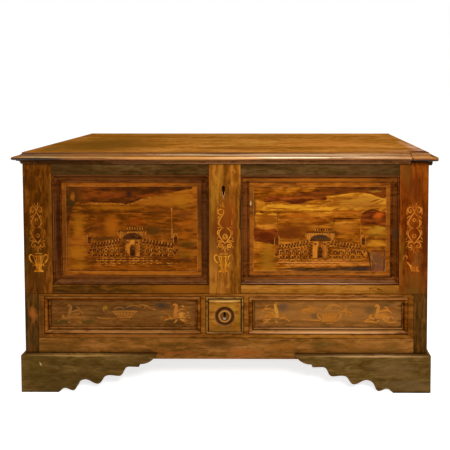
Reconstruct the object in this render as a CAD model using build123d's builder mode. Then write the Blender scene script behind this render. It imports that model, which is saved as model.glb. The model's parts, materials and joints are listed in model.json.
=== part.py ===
"""Walnut cassone: a framed chest with a hinged lid, two veneered front panels and one long drawer.

Millimetres. +X runs to the right along the front, the front faces -Y and +Z is up. The origin is on
the floor, under the middle of the whole object's box. Every piece is built where it stands at rest:
lid shut, drawer in, both lock bolts drawn back.
"""

import os
from math import sqrt

from build123d import *

os.makedirs("parts", exist_ok=True)

# ---------------------------------------------------------------- driving dimensions
BODY_WIDTH = 1450.0  # over the stiles and side boards
BODY_DEPTH = 550.0  # front frame to back boards
LID_TOP = 866.5
LID_THICK = 25.0
LID_GAP = 0.5  # lid to body, when shut
NOSE = 25.0  # how far the lid's moulded edge stands out past the body
BODY_BOTTOM = 115.5  # underside of the bottom rail
FRAME_THICK = 30.0  # stiles and rails
SIDE_THICK = 24.0
BACK_THICK = 20.0
STILE_WIDTH = 103.0
CENTER_STILE_WIDTH = 114.0
CENTER_STILE_X = -2.0
POST_WIDTH = 49.0
TOP_RAIL_BOTTOM = 785.0
MID_RAIL_TOP = 387.0
MID_RAIL_BOTTOM = 356.0
STILE_BOTTOM = 355.0
BOTTOM_RAIL_TOP = 192.0
BOARD_GAP = 0.5  # hairline between boards laid edge to edge

DRAWER_GAP = 1.5  # between the drawer front and the rails above and below it

KNUCKLE_RADIUS = 6.0
PIN_RADIUS = 2.5
PIN_BORE = 2.55  # the pin turns freely in its knuckles
PIVOT_OUT = 6.5  # hinge axis behind the back boards

# ---------------------------------------------------------------- planes and levels
FRONT = NOSE - (NOSE + BODY_DEPTH + PIVOT_OUT + KNUCKLE_RADIUS) / 2  # Y of the body's front face
BACK = FRONT + BODY_DEPTH
HALF = BODY_WIDTH / 2
LID_UNDER = LID_TOP - LID_THICK
BODY_TOP = LID_UNDER - LID_GAP
BEHIND_FRAME = FRONT + FRAME_THICK
BEFORE_BACK = BACK - BACK_THICK
INNER_HALF = HALF - SIDE_THICK
STILE_INNER = HALF - STILE_WIDTH
POST_INNER = HALF - POST_WIDTH
CENTER_STILE_LEFT = CENTER_STILE_X - CENTER_STILE_WIDTH / 2
CENTER_STILE_RIGHT = CENTER_STILE_X + CENTER_STILE_WIDTH / 2


def block(x0, x1, y0, y1, z0, z1, mode=Mode.ADD):
    """A box between two corners, added to or cut from the part that is being built."""
    with Locations(((x0 + x1) / 2, (y0 + y1) / 2, (z0 + z1) / 2)):
        Box(x1 - x0, y1 - y0, z1 - z0, mode=mode)


# ---------------------------------------------------------------- front frame: mortises and grooves
TENON_THICK = 9.0
TENON_LONG = 34.0
TENON_SHOULDER = 7.0  # rail left above and below its tenon
TENON_PLAY = 0.25  # room round a tenon in its mortise
TENON_Y0 = FRONT + FRAME_THICK / 2 - TENON_THICK / 2 + 7.0
TENON_Y1 = TENON_Y0 + TENON_THICK

PANEL_SUNK = 12.0  # panel face behind the frame's face
PANEL_THICK = 9.0
PANEL_TONGUE = 8.0  # panel edge held in the frame
PANEL_PLAY = 0.3
PANEL_Y0 = FRONT + PANEL_SUNK
PANEL_Y1 = PANEL_Y0 + PANEL_THICK
PANEL_OPENINGS = {
    "left": (-STILE_INNER, CENTER_STILE_LEFT),
    "right": (CENTER_STILE_RIGHT, STILE_INNER),
}

RAIL_LEVELS = {
    "top": (TOP_RAIL_BOTTOM, BODY_TOP),
    "mid": (MID_RAIL_BOTTOM, MID_RAIL_TOP),
}


def tenon(x, direction, z0, z1, play=0.0, mode=Mode.ADD):
    """A tenon, or with play its mortise, that runs from the shoulder at x in +X or -X."""
    reach = x + direction * (TENON_LONG + play)
    low, high = sorted((x - direction * play, reach))
    z_low = z0 + TENON_SHOULDER - play
    z_high = z1 - TENON_SHOULDER + play
    block(low, high, TENON_Y0 - play, TENON_Y1 + play, z_low, z_high, mode)


def cut_panel_grooves():
    """Cut both panels' grooves out of the piece that is being built."""
    for x0, x1 in PANEL_OPENINGS.values():
        reach = PANEL_TONGUE + PANEL_PLAY
        block(
            x0 - reach, x1 + reach,
            PANEL_Y0 - PANEL_PLAY / 2, PANEL_Y1 + PANEL_PLAY / 2,
            MID_RAIL_TOP - reach, TOP_RAIL_BOTTOM + reach,
            Mode.SUBTRACT,
        )  # fmt: skip


# ---------------------------------------------------------------- key holes
CHEST_KEY_X = -7.0
CHEST_KEY_Z = 739.0
DRAWER_KEY_X = -5.0
DRAWER_KEY_Z = 280.0
KEY_BARREL_RADIUS = 5.0
KEY_BIT_WIDTH = 6.5
CHEST_KEY_DROP = 26.0  # barrel centre to the foot of the slot
DRAWER_KEY_DROP = 16.0


def keyhole(x, z, drop, y0, y1):
    """Cut a key hole through what is being built: a round for the barrel and a slot for the bit."""
    with BuildSketch(Plane.XZ.offset(-y1)) as hole:
        with Locations((x, z)):
            Circle(KEY_BARREL_RADIUS)
        with Locations((x, z - drop / 2)):
            Rectangle(KEY_BIT_WIDTH, drop)
    extrude(hole.sketch, amount=y1 - y0, mode=Mode.SUBTRACT)


# ---------------------------------------------------------------- drawer bolt's mortise in the frame
DRAWER_LOCK_X = -5.0
DRAWER_BOLT_WIDTH = 16.0
DRAWER_BOLT_THICK = 4.0
DRAWER_BOLT_Y0 = FRONT + 21.0
DRAWER_BOLT_Y1 = DRAWER_BOLT_Y0 + DRAWER_BOLT_THICK
DRAWER_BOLT_TRAVEL = 10.0
BOLT_PLAY = 0.5

# ================================================================ front frame
with BuildPart() as stile_left:
    block(-HALF, -STILE_INNER, FRONT, BEHIND_FRAME, STILE_BOTTOM, BODY_TOP)
    for z0, z1 in RAIL_LEVELS.values():
        tenon(-STILE_INNER, -1, z0, z1, TENON_PLAY, Mode.SUBTRACT)
    cut_panel_grooves()
stile_left.part.label = "stile_left"
export_step(stile_left.part, "parts/stile_left.step")

with BuildPart() as stile_right:
    block(STILE_INNER, HALF, FRONT, BEHIND_FRAME, STILE_BOTTOM, BODY_TOP)
    for z0, z1 in RAIL_LEVELS.values():
        tenon(STILE_INNER, 1, z0, z1, TENON_PLAY, Mode.SUBTRACT)
    cut_panel_grooves()
stile_right.part.label = "stile_right"
export_step(stile_right.part, "parts/stile_right.step")

with BuildPart() as stile_center:
    block(CENTER_STILE_LEFT, CENTER_STILE_RIGHT, FRONT, BEHIND_FRAME, STILE_BOTTOM, BODY_TOP)
    for z0, z1 in RAIL_LEVELS.values():
        tenon(CENTER_STILE_LEFT, 1, z0, z1, TENON_PLAY, Mode.SUBTRACT)
        tenon(CENTER_STILE_RIGHT, -1, z0, z1, TENON_PLAY, Mode.SUBTRACT)
    cut_panel_grooves()
    keyhole(CHEST_KEY_X, CHEST_KEY_Z, CHEST_KEY_DROP, FRONT - 1, BEHIND_FRAME + 1)
    block(
        DRAWER_LOCK_X - DRAWER_BOLT_WIDTH / 2 - BOLT_PLAY,
        DRAWER_LOCK_X + DRAWER_BOLT_WIDTH / 2 + BOLT_PLAY,
        DRAWER_BOLT_Y0 - BOLT_PLAY, DRAWER_BOLT_Y1 + BOLT_PLAY,
        STILE_BOTTOM, STILE_BOTTOM + DRAWER_BOLT_TRAVEL + 2,
        Mode.SUBTRACT,
    )  # fmt: skip
stile_center.part.label = "stile_center"
export_step(stile_center.part, "parts/stile_center.step")

BOTTOM_TENON_Z = (BODY_BOTTOM, BOTTOM_RAIL_TOP)
with BuildPart() as post_left:
    block(-HALF, -POST_INNER, FRONT, BEHIND_FRAME, BODY_BOTTOM, STILE_BOTTOM)
    tenon(-POST_INNER, -1, *BOTTOM_TENON_Z, TENON_PLAY, Mode.SUBTRACT)
post_left.part.label = "post_left"
export_step(post_left.part, "parts/post_left.step")

with BuildPart() as post_right:
    block(POST_INNER, HALF, FRONT, BEHIND_FRAME, BODY_BOTTOM, STILE_BOTTOM)
    tenon(POST_INNER, 1, *BOTTOM_TENON_Z, TENON_PLAY, Mode.SUBTRACT)
post_right.part.label = "post_right"
export_step(post_right.part, "parts/post_right.step")

with BuildPart() as rail_bottom:
    block(-POST_INNER, POST_INNER, FRONT, BEHIND_FRAME, BODY_BOTTOM, BOTTOM_RAIL_TOP)
    tenon(-POST_INNER, -1, *BOTTOM_TENON_Z)
    tenon(POST_INNER, 1, *BOTTOM_TENON_Z)
rail_bottom.part.label = "rail_bottom"
export_step(rail_bottom.part, "parts/rail_bottom.step")

for level, (z0, z1) in RAIL_LEVELS.items():
    for hand, (x0, x1) in PANEL_OPENINGS.items():
        with BuildPart() as rail:
            block(x0, x1, FRONT, BEHIND_FRAME, z0, z1)
            tenon(x0, -1, z0, z1)
            tenon(x1, 1, z0, z1)
            cut_panel_grooves()
        rail.part.label = f"rail_{level}_{hand}"
        export_step(rail.part, f"parts/rail_{level}_{hand}.step")

for hand, (x0, x1) in PANEL_OPENINGS.items():
    with BuildPart() as panel:
        block(
            x0 - PANEL_TONGUE, x1 + PANEL_TONGUE,
            PANEL_Y0, PANEL_Y1,
            MID_RAIL_TOP - PANEL_TONGUE, TOP_RAIL_BOTTOM + PANEL_TONGUE,
        )  # fmt: skip
    panel.part.label = f"panel_{hand}"
    export_step(panel.part, f"parts/panel_{hand}.step")

# ================================================================ mitred mouldings
MITRE_GAP = 0.3  # hairline at each mitre


def mitred_strip(outline, strip_width, length):
    """A moulding strip along X with its outer edge on the X axis and its width towards +Z.

    outline draws the section in a plane whose first axis is +Y and second +Z. Both ends are mitred.
    """
    half = length / 2 - MITRE_GAP
    with BuildPart() as strip:
        with BuildSketch(Plane.YZ.offset(-length / 2)):
            with BuildLine():
                outline()
            make_face()
        extrude(amount=length)
        with BuildSketch(Plane.XZ.offset(-NOSE)):
            Polygon((-half, 0), (half, 0), (half - strip_width, strip_width),
                    (strip_width - half, strip_width), align=None)  # fmt: skip
        extrude(amount=2 * NOSE, mode=Mode.INTERSECT)
    return strip.part


def mitred_frame(outline, strip_width, x0, x1, y, z0, z1):
    """Add four mitred strips round a rectangle; y is where the section's own Y zero goes."""
    long_strip = mitred_strip(outline, strip_width, x1 - x0)
    tall_strip = mitred_strip(outline, strip_width, z1 - z0)
    middle_x = (x0 + x1) / 2
    middle_z = (z0 + z1) / 2
    with Locations(Location((middle_x, y, z0))):
        add(long_strip)
    with Locations(Location((middle_x, y, z1), (0, 180, 0))):
        add(long_strip)
    with Locations(Location((x0, y, middle_z), (0, 90, 0))):
        add(tall_strip)
    with Locations(Location((x1, y, middle_z), (0, -90, 0))):
        add(tall_strip)


PANEL_MOULDING = 29.0  # width of the strip round a panel
PANEL_BEAD = 2.6  # radius of the bead next to the frame
PANEL_INNER_BEAD = 2.2  # radius of the bead next to the veneer
PANEL_BEAD_FRONT = 1.0  # top of the outer bead behind the frame's face


def panel_moulding_outline():
    """Bead, quirk, hollow and small inner bead. Y zero is the frame's face, Z zero the frame's edge."""
    bead_y = PANEL_BEAD_FRONT + PANEL_BEAD
    bead_start = 1.0
    bead_end = bead_start + 2 * PANEL_BEAD
    inner_start = PANEL_MOULDING - 2 * PANEL_INNER_BEAD
    inner_y = PANEL_SUNK - 1.4
    quirk_y = bead_y + 2.2
    shoulder = (4.6, bead_end + 1.4)
    hollow_middle = (9.6, 16.0)
    Polyline((PANEL_SUNK, PANEL_MOULDING), (PANEL_SUNK, 0), (bead_y + 1.5, 0), (bead_y, bead_start))
    ThreePointArc((bead_y, bead_start), (PANEL_BEAD_FRONT, bead_start + PANEL_BEAD),
                  (bead_y, bead_end))  # fmt: skip
    Polyline((bead_y, bead_end), (quirk_y, bead_end), shoulder)
    ThreePointArc(shoulder, hollow_middle, (inner_y, inner_start))
    inner_top = inner_y - PANEL_INNER_BEAD
    ThreePointArc((inner_y, inner_start), (inner_top, inner_start + PANEL_INNER_BEAD),
                  (inner_y, PANEL_MOULDING))  # fmt: skip
    Line((inner_y, PANEL_MOULDING), (PANEL_SUNK, PANEL_MOULDING))


for hand, (x0, x1) in PANEL_OPENINGS.items():
    with BuildPart() as panel_moulding:
        mitred_frame(panel_moulding_outline, PANEL_MOULDING, x0, x1, FRONT,
                     MID_RAIL_TOP, TOP_RAIL_BOTTOM)  # fmt: skip
    panel_moulding.part.label = f"panel_moulding_{hand}"
    export_step(panel_moulding.part, f"parts/panel_moulding_{hand}.step")

# ================================================================ carcass
SIDE_SEAM = 486.0
for hand, side in {"left": -1, "right": 1}.items():
    with BuildPart() as side_boards:
        low, high = sorted((side * INNER_HALF, side * HALF))
        block(low, high, BEHIND_FRAME, BEFORE_BACK, BODY_BOTTOM, SIDE_SEAM)
        block(low, high, BEHIND_FRAME, BEFORE_BACK, SIDE_SEAM + BOARD_GAP, BODY_TOP)
    side_boards.part.label = f"side_boards_{hand}"
    export_step(side_boards.part, f"parts/side_boards_{hand}.step")

BACK_SEAMS = (BODY_BOTTOM, 352.0, 603.0, BODY_TOP)
with BuildPart() as back_boards:
    for z0, z1 in zip(BACK_SEAMS, BACK_SEAMS[1:]):
        top = z1 if z1 == BODY_TOP else z1 - BOARD_GAP
        block(-HALF, HALF, BEFORE_BACK, BACK, z0, top)
back_boards.part.label = "back_boards"
export_step(back_boards.part, "parts/back_boards.step")

FLOOR_BOTTOM = 365.0
FLOOR_TOP = 383.0
FLOOR_SEAMS = (BEHIND_FRAME, BEHIND_FRAME + 172.0, BEHIND_FRAME + 331.0, BEFORE_BACK)
with BuildPart() as chest_floor:
    for y0, y1 in zip(FLOOR_SEAMS, FLOOR_SEAMS[1:]):
        far = y1 if y1 == BEFORE_BACK else y1 - BOARD_GAP
        block(-INNER_HALF, INNER_HALF, y0, far, FLOOR_BOTTOM, FLOOR_TOP)
chest_floor.part.label = "chest_floor"
export_step(chest_floor.part, "parts/chest_floor.step")

CLEAT_WIDTH = 23.0
CLEAT_HEIGHT = 21.0
CLEAT_SETBACK = 6.0  # behind the front frame
with BuildPart() as floor_cleats:
    for side in (-1, 1):
        low, high = sorted((side * (INNER_HALF - CLEAT_WIDTH), side * INNER_HALF))
        block(low, high, BEHIND_FRAME + CLEAT_SETBACK, BEFORE_BACK, FLOOR_BOTTOM - CLEAT_HEIGHT,
              FLOOR_BOTTOM)  # fmt: skip
floor_cleats.part.label = "floor_cleats"
export_step(floor_cleats.part, "parts/floor_cleats.step")

CASE_BOTTOM_Z0 = 142.0
CASE_BOTTOM_Z1 = 158.0
CASE_BOTTOM_SEAMS = (BEHIND_FRAME, BEHIND_FRAME + 251.0, BEFORE_BACK)
with BuildPart() as case_bottom:
    for y0, y1 in zip(CASE_BOTTOM_SEAMS, CASE_BOTTOM_SEAMS[1:]):
        far = y1 if y1 == BEFORE_BACK else y1 - BOARD_GAP
        block(-INNER_HALF, INNER_HALF, y0, far, CASE_BOTTOM_Z0, CASE_BOTTOM_Z1)
case_bottom.part.label = "case_bottom"
export_step(case_bottom.part, "parts/case_bottom.step")

# ================================================================ drawer sizes
DRAWER_HALF = POST_INNER - 1.0
DRAWER_BOTTOM = BOTTOM_RAIL_TOP + DRAWER_GAP
DRAWER_TOP = STILE_BOTTOM - DRAWER_GAP
DRAWER_FACE = FRONT + 0.5  # the plain border, all but flush with the frame
DRAWER_FIELD = FRONT + 10.0  # face of the front board
DRAWER_FRONT_BACK = DRAWER_FIELD + 22.0
DRAWER_SIDE_THICK = 14.0
DRAWER_SIDE_OUT = DRAWER_HALF - 1.0
DRAWER_SIDE_IN = DRAWER_SIDE_OUT - DRAWER_SIDE_THICK
DRAWER_SIDE_Z0 = DRAWER_BOTTOM
DRAWER_SIDE_Z1 = 338.0
DRAWER_BACK_END = BEFORE_BACK - 12.0
RUNNER_TOP = DRAWER_SIDE_Z0 - 0.4
RUNNER_IN = DRAWER_SIDE_IN - 26.0
GUIDE_IN = DRAWER_SIDE_OUT + 0.8
GUIDE_TOP = RUNNER_TOP + 24.0
GUIDE_START = DRAWER_FRONT_BACK + 4.0

with BuildPart() as drawer_runners:
    for side in (-1, 1):
        low, high = sorted((side * RUNNER_IN, side * INNER_HALF))
        block(low, high, BEHIND_FRAME, BEFORE_BACK, CASE_BOTTOM_Z1, RUNNER_TOP)
        low, high = sorted((side * GUIDE_IN, side * INNER_HALF))
        block(low, high, GUIDE_START, BEFORE_BACK, RUNNER_TOP, GUIDE_TOP)
drawer_runners.part.label = "drawer_runners"
export_step(drawer_runners.part, "parts/drawer_runners.step")

# ================================================================ bracket feet
FOOT_OUT = 11.0  # feet stand out past the body
FOOT_HEIGHT = 138.0
FOOT_THICK = 24.0
FOOT_HALF = HALF + FOOT_OUT
FOOT_FRONT = FRONT - FOOT_OUT
FOOT_EDGE = 3.0  # worn chamfer along the top
FOOT_PAD = 135.0  # flat length on the floor
FOOT_PLATEAU = 94.0
FOOT_REACH = 487.0
# Turning points of the sawn wave from the pad inwards: distance from the corner, height, slope.
FOOT_WAVE = (
    (FOOT_PAD, 0.0, 0.9),
    (158.0, 15.5, 0.0),
    (186.0, 7.0, 0.0),
    (204.0, 31.0, 2.0),
    (231.0, 47.0, 0.0),
    (275.0, 31.0, 0.0),
    (299.0, 55.0, 1.3),
    (320.0, 62.5, 0.0),
    (352.0, 60.0, 0.0),
    (370.0, 78.0, 2.4),
    (390.0, FOOT_PLATEAU, 0.0),
)
FOOT_STEP = 424.0  # where the plateau steps up to the tip
FOOT_STEP_TOP = 103.5
FOOT_TIP_BEND = 112.5


def foot_outline(scale):
    """A bracket seen from outside, its length scaled, from the corner at zero inwards."""
    points = [(scale * along, height) for along, height, slope in FOOT_WAVE]
    tangents = [(1.0, slope) for along, height, slope in FOOT_WAVE]
    step = scale * FOOT_STEP
    step_end = step + 5.0
    reach = scale * FOOT_REACH
    tip_bend = (step_end + 0.6 * (reach - step_end), FOOT_TIP_BEND)
    Line((0, 0), points[0])
    Spline(*points, tangents=tangents)
    Polyline(points[-1], (step, FOOT_PLATEAU - 1), (step_end, FOOT_STEP_TOP))
    ThreePointArc((step_end, FOOT_STEP_TOP), tip_bend, (reach, FOOT_HEIGHT))
    Polyline((reach, FOOT_HEIGHT), (0, FOOT_HEIGHT), (0, 0))


# The left front bracket is drawn with its corner at X zero; the right one is its mirror image.
FOOT_PLAN_BACK = FOOT_FRONT + FOOT_THICK
with BuildPart() as bracket:
    with BuildSketch(Plane.XZ.offset(-FOOT_PLAN_BACK)):
        with BuildLine():
            foot_outline(1.0)
        make_face()
    extrude(amount=FOOT_THICK)
    with BuildSketch(Plane.XY):
        Polygon((MITRE_GAP, FOOT_FRONT), (FOOT_REACH, FOOT_FRONT), (FOOT_REACH, FOOT_PLAN_BACK),
                (FOOT_THICK + MITRE_GAP, FOOT_PLAN_BACK), align=None)  # fmt: skip
    extrude(amount=FOOT_HEIGHT, mode=Mode.INTERSECT)
    block(0, FOOT_REACH, FRONT, FOOT_PLAN_BACK, BODY_BOTTOM, FOOT_HEIGHT, Mode.SUBTRACT)
    chamfer(bracket.edges().filter_by(Axis.X).group_by(Axis.Z)[-1].sort_by(Axis.Y)[0], FOOT_EDGE)

with BuildPart() as foot_front_left:
    with Locations((-FOOT_HALF, 0, 0)):
        add(bracket.part)
foot_front_left.part.label = "foot_front_left"
export_step(foot_front_left.part, "parts/foot_front_left.step")

with BuildPart() as foot_front_right:
    add(mirror(foot_front_left.part, about=Plane.YZ, mode=Mode.PRIVATE))
foot_front_right.part.label = "foot_front_right"
export_step(foot_front_right.part, "parts/foot_front_right.step")

# The returns run back along the sides: one behind each front bracket, one at each rear corner.
RETURN_SCALE = 0.45
RETURN_REACH = RETURN_SCALE * FOOT_REACH
with BuildPart() as side_bracket:
    with BuildSketch(Plane.YZ):
        with BuildLine():
            foot_outline(RETURN_SCALE)
        make_face()
    extrude(amount=FOOT_THICK)
    block(FOOT_OUT, FOOT_THICK, 0, 1.1 * RETURN_REACH, BODY_BOTTOM, FOOT_HEIGHT, Mode.SUBTRACT)
    outer_edges = side_bracket.edges().filter_by(Axis.Y).group_by(Axis.Z)[-1]
    chamfer(outer_edges.sort_by(Axis.X)[0], FOOT_EDGE)

with BuildPart() as front_return:
    with Locations((-FOOT_HALF, FOOT_FRONT, 0)):
        add(side_bracket.part)
    with BuildSketch(Plane.XY):
        with Locations((-FOOT_HALF, FOOT_FRONT)):
            Polygon((0, MITRE_GAP), (FOOT_THICK, FOOT_THICK + MITRE_GAP),
                    (FOOT_THICK, RETURN_REACH), (0, RETURN_REACH), align=None)  # fmt: skip
    extrude(amount=FOOT_HEIGHT, mode=Mode.INTERSECT)

with BuildPart() as rear_return:
    with Locations((-FOOT_HALF, -BACK, 0)):
        add(side_bracket.part)
rear_return_left = mirror(rear_return.part, about=Plane.XZ, mode=Mode.PRIVATE)

with BuildPart() as foot_returns:
    add(front_return.part)
    add(rear_return_left)
    mirror(about=Plane.YZ)
foot_returns.part.label = "foot_returns"
export_step(foot_returns.part, "parts/foot_returns.step")

REAR_FOOT_PAD = 120.0
REAR_FOOT_REACH = 190.0
REAR_FOOT_THICK = 20.0
FOOT_INNER = FOOT_HALF - FOOT_THICK
with BuildPart() as feet_rear:
    for side in (-1, 1):
        with BuildSketch(Plane.XZ.offset(-BACK)):
            with Locations((side * FOOT_INNER, 0)):
                Polygon((0, 0), (-side * REAR_FOOT_PAD, 0), (-side * REAR_FOOT_REACH, BODY_BOTTOM),
                        (0, BODY_BOTTOM), align=None)  # fmt: skip
        extrude(amount=REAR_FOOT_THICK)
feet_rear.part.label = "feet_rear"
export_step(feet_rear.part, "parts/feet_rear.step")

GLUE_BLOCK = 52.0
GLUE_BLOCK_LIFT = 3.0  # clear of the floor
with BuildPart() as foot_blocks:
    for side in (-1, 1):
        low, high = sorted((side * FOOT_INNER, side * (FOOT_INNER - GLUE_BLOCK)))
        for y0 in (FOOT_PLAN_BACK, BACK - REAR_FOOT_THICK - GLUE_BLOCK):
            block(low, high, y0, y0 + GLUE_BLOCK, GLUE_BLOCK_LIFT, BODY_BOTTOM)
foot_blocks.part.label = "foot_blocks"
export_step(foot_blocks.part, "parts/foot_blocks.step")

# ================================================================ lid
EDGE_IN = 15.0  # joint between the moulded edge and the boards, behind the body's face
PATCH_X = 659.0  # left end of the replaced corner
NOSE_BOTTOM = LID_UNDER
PATCH_NOSE_BOTTOM = LID_UNDER - 3.5
EDGE_OUTER = HALF + NOSE
EDGE_INNER = HALF - EDGE_IN
EDGE_FRONT_Y = FRONT - NOSE
EDGE_BACK_Y = FRONT + EDGE_IN


def lid_edge_section(face, outward, nose_bottom):
    """Moulded edge: top, small step, hollow, quirk and half-round nose. face is the body's face."""
    radius = 6.3
    nose_x = face + outward * (NOSE - radius)
    nose_top = nose_bottom + 2 * radius
    step_x = face + outward * 0.6
    hollow_x = face + outward * 1.6
    hollow_top = LID_TOP - 5.0
    quirk_x = face + outward * (NOSE - radius - 1.6)
    quirk_z = nose_top + 0.6
    back_x = face - outward * EDGE_IN
    under = [(back_x, LID_UNDER)]
    if nose_bottom < LID_UNDER:
        under += [(step_x, LID_UNDER), (step_x, nose_bottom)]
    Polyline((step_x, hollow_top), (step_x, LID_TOP - 1), (step_x - outward, LID_TOP),
             (back_x, LID_TOP), *under, (nose_x, nose_bottom))  # fmt: skip
    ThreePointArc((nose_x, nose_bottom), (face + outward * NOSE, nose_bottom + radius),
                  (nose_x, nose_top))  # fmt: skip
    Polyline((nose_x, nose_top), (quirk_x, nose_top - 0.6), (quirk_x, quirk_z))
    ThreePointArc((quirk_x, quirk_z), ((hollow_x + quirk_x) / 2 - outward * 1.6, quirk_z + 2.0),
                  (hollow_x, hollow_top))  # fmt: skip
    Line((hollow_x, hollow_top), (step_x, hollow_top))


with BuildPart() as lid_edge_front:
    with BuildSketch(Plane.YZ.offset(-EDGE_OUTER)):
        with BuildLine():
            lid_edge_section(FRONT, -1, NOSE_BOTTOM)
        make_face()
    extrude(amount=EDGE_OUTER + PATCH_X - BOARD_GAP)
    with BuildSketch(Plane.XY.offset(LID_UNDER - NOSE)):
        Polygon((MITRE_GAP - EDGE_OUTER, EDGE_FRONT_Y), (PATCH_X, EDGE_FRONT_Y),
                (PATCH_X, EDGE_BACK_Y), (MITRE_GAP - EDGE_INNER, EDGE_BACK_Y), align=None)  # fmt: skip
    extrude(amount=3 * NOSE, mode=Mode.INTERSECT)
lid_edge_front.part.label = "lid_edge_front"
export_step(lid_edge_front.part, "parts/lid_edge_front.step")

with BuildPart() as lid_corner_patch:
    with BuildSketch(Plane.YZ.offset(PATCH_X)):
        with BuildLine():
            lid_edge_section(FRONT, -1, PATCH_NOSE_BOTTOM)
        make_face()
    extrude(amount=EDGE_OUTER - PATCH_X)
    with BuildSketch(Plane.XY.offset(LID_UNDER - NOSE)):
        Polygon((PATCH_X, EDGE_FRONT_Y), (EDGE_OUTER - MITRE_GAP, EDGE_FRONT_Y),
                (EDGE_INNER - MITRE_GAP, EDGE_BACK_Y), (PATCH_X, EDGE_BACK_Y), align=None)  # fmt: skip
    extrude(amount=3 * NOSE, mode=Mode.INTERSECT)
lid_corner_patch.part.label = "lid_corner_patch"
export_step(lid_corner_patch.part, "parts/lid_corner_patch.step")

for hand, side in {"left": -1, "right": 1}.items():
    with BuildPart() as lid_edge_side:
        with BuildSketch(Plane.XZ.offset(-BACK)):
            with BuildLine():
                lid_edge_section(side * HALF, side, NOSE_BOTTOM)
            make_face()
        extrude(amount=BACK - EDGE_FRONT_Y)
        with BuildSketch(Plane.XY.offset(LID_UNDER - NOSE)):
            Polygon((side * EDGE_OUTER, EDGE_FRONT_Y + MITRE_GAP),
                    (side * EDGE_INNER, EDGE_BACK_Y + MITRE_GAP),
                    (side * EDGE_INNER, BACK), (side * EDGE_OUTER, BACK), align=None)  # fmt: skip
        extrude(amount=3 * NOSE, mode=Mode.INTERSECT)
    lid_edge_side.part.label = f"lid_edge_{hand}"
    export_step(lid_edge_side.part, f"parts/lid_edge_{hand}.step")

COVE_CLEAR = 0.5  # cove to body
COVE_OUT = 14.0
COVE_FOOT_OUT = 4.0
COVE_BOTTOM = 825.5
COVE_BREAK_X = -667.0  # the front cove is pieced here
COVE_BREAK = 3.0


def cove_section(face, outward):
    """Hollow bed moulding under the lid's nose."""
    radius = COVE_OUT - COVE_FOOT_OUT
    arc_foot = LID_UNDER - 3.5 - radius
    bulge = radius * (1 - sqrt(0.5))
    back_x = face + outward * COVE_CLEAR
    foot_x = face + outward * COVE_FOOT_OUT
    out_x = face + outward * COVE_OUT
    Polyline((foot_x, arc_foot), (foot_x, COVE_BOTTOM), (back_x, COVE_BOTTOM), (back_x, LID_UNDER),
             (out_x, LID_UNDER), (out_x, arc_foot + radius))  # fmt: skip
    ThreePointArc((out_x, arc_foot + radius), (foot_x + outward * bulge, arc_foot + radius - bulge),
                  (foot_x, arc_foot))  # fmt: skip


with BuildPart() as lid_cove_front:
    with BuildSketch(Plane.YZ.offset(-HALF - COVE_OUT)):
        with BuildLine():
            cove_section(FRONT, -1)
        make_face()
    extrude(amount=HALF + COVE_OUT + PATCH_X - BOARD_GAP)
    with BuildSketch(Plane.XY.offset(LID_UNDER - NOSE)):
        Polygon((MITRE_GAP - HALF - COVE_OUT, FRONT - COVE_OUT), (PATCH_X, FRONT - COVE_OUT),
                (PATCH_X, FRONT), (MITRE_GAP - HALF, FRONT), align=None)  # fmt: skip
    extrude(amount=3 * NOSE, mode=Mode.INTERSECT)
    block(COVE_BREAK_X, COVE_BREAK_X + COVE_BREAK, FRONT - NOSE, FRONT, COVE_BOTTOM - 1, LID_UNDER,
          Mode.SUBTRACT)  # fmt: skip
lid_cove_front.part.label = "lid_cove_front"
export_step(lid_cove_front.part, "parts/lid_cove_front.step")

with BuildPart() as lid_cove_left:
    with BuildSketch(Plane.XZ.offset(-BACK)):
        with BuildLine():
            cove_section(-HALF, -1)
        make_face()
    extrude(amount=BACK - FRONT + COVE_OUT)
    with BuildSketch(Plane.XY.offset(LID_UNDER - NOSE)):
        Polygon((-HALF - COVE_OUT, FRONT - COVE_OUT + MITRE_GAP), (-HALF, FRONT + MITRE_GAP),
                (-HALF, BACK), (-HALF - COVE_OUT, BACK), align=None)  # fmt: skip
    extrude(amount=3 * NOSE, mode=Mode.INTERSECT)
lid_cove_left.part.label = "lid_cove_left"
export_step(lid_cove_left.part, "parts/lid_cove_left.step")

# The right-hand cove is a plainer, deeper replacement, cut square at the front.
RIGHT_COVE_BOTTOM = 820.0
with BuildPart() as lid_cove_right:
    with BuildSketch(Plane.XZ.offset(-BACK)):
        Polygon((HALF + COVE_CLEAR, LID_UNDER), (HALF + COVE_OUT, LID_UNDER),
                (HALF + COVE_OUT - 1, RIGHT_COVE_BOTTOM + 7), (HALF + COVE_OUT - 4, RIGHT_COVE_BOTTOM),
                (HALF + COVE_CLEAR, RIGHT_COVE_BOTTOM), align=None)  # fmt: skip
    extrude(amount=BODY_DEPTH)
lid_cove_right.part.label = "lid_cove_right"
export_step(lid_cove_right.part, "parts/lid_cove_right.step")

# ---------------------------------------------------------------- hinge straps let into the lid
HINGE_XS = (-480.0, 480.0)
PIVOT_Y = BACK + PIVOT_OUT
PIVOT_Z = BODY_TOP + LID_GAP / 2
STRAP_THICK = 3.0
STRAP_LENGTH = 280.0
STRAP_ROOT_HALF = 14.0
STRAP_TIP_HALF = 8.0
STRAP_PLAY = 0.4
STRAP_NAIL_YS = tuple(BACK - along for along in (50.0, 120.0, 190.0, 258.0))
NAIL_SHANK = 1.6
NAIL_HOLE = 1.7
NAIL_HEAD = 4.2
NAIL_HEAD_HIGH = 1.6
NAIL_LONG = 17.0
SHORT_NAIL = 10.0  # for the lock plates


def strap_plan(x, play, back_y):
    """Tapering strap with a round tip, in plan."""
    tip_y = BACK - STRAP_LENGTH + STRAP_TIP_HALF
    root = STRAP_ROOT_HALF + play
    tip = STRAP_TIP_HALF + play
    Polygon((x - root, back_y), (x - tip, tip_y), (x + tip, tip_y), (x + root, back_y), align=None)
    with Locations((x, tip_y)):
        Circle(tip)


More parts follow.
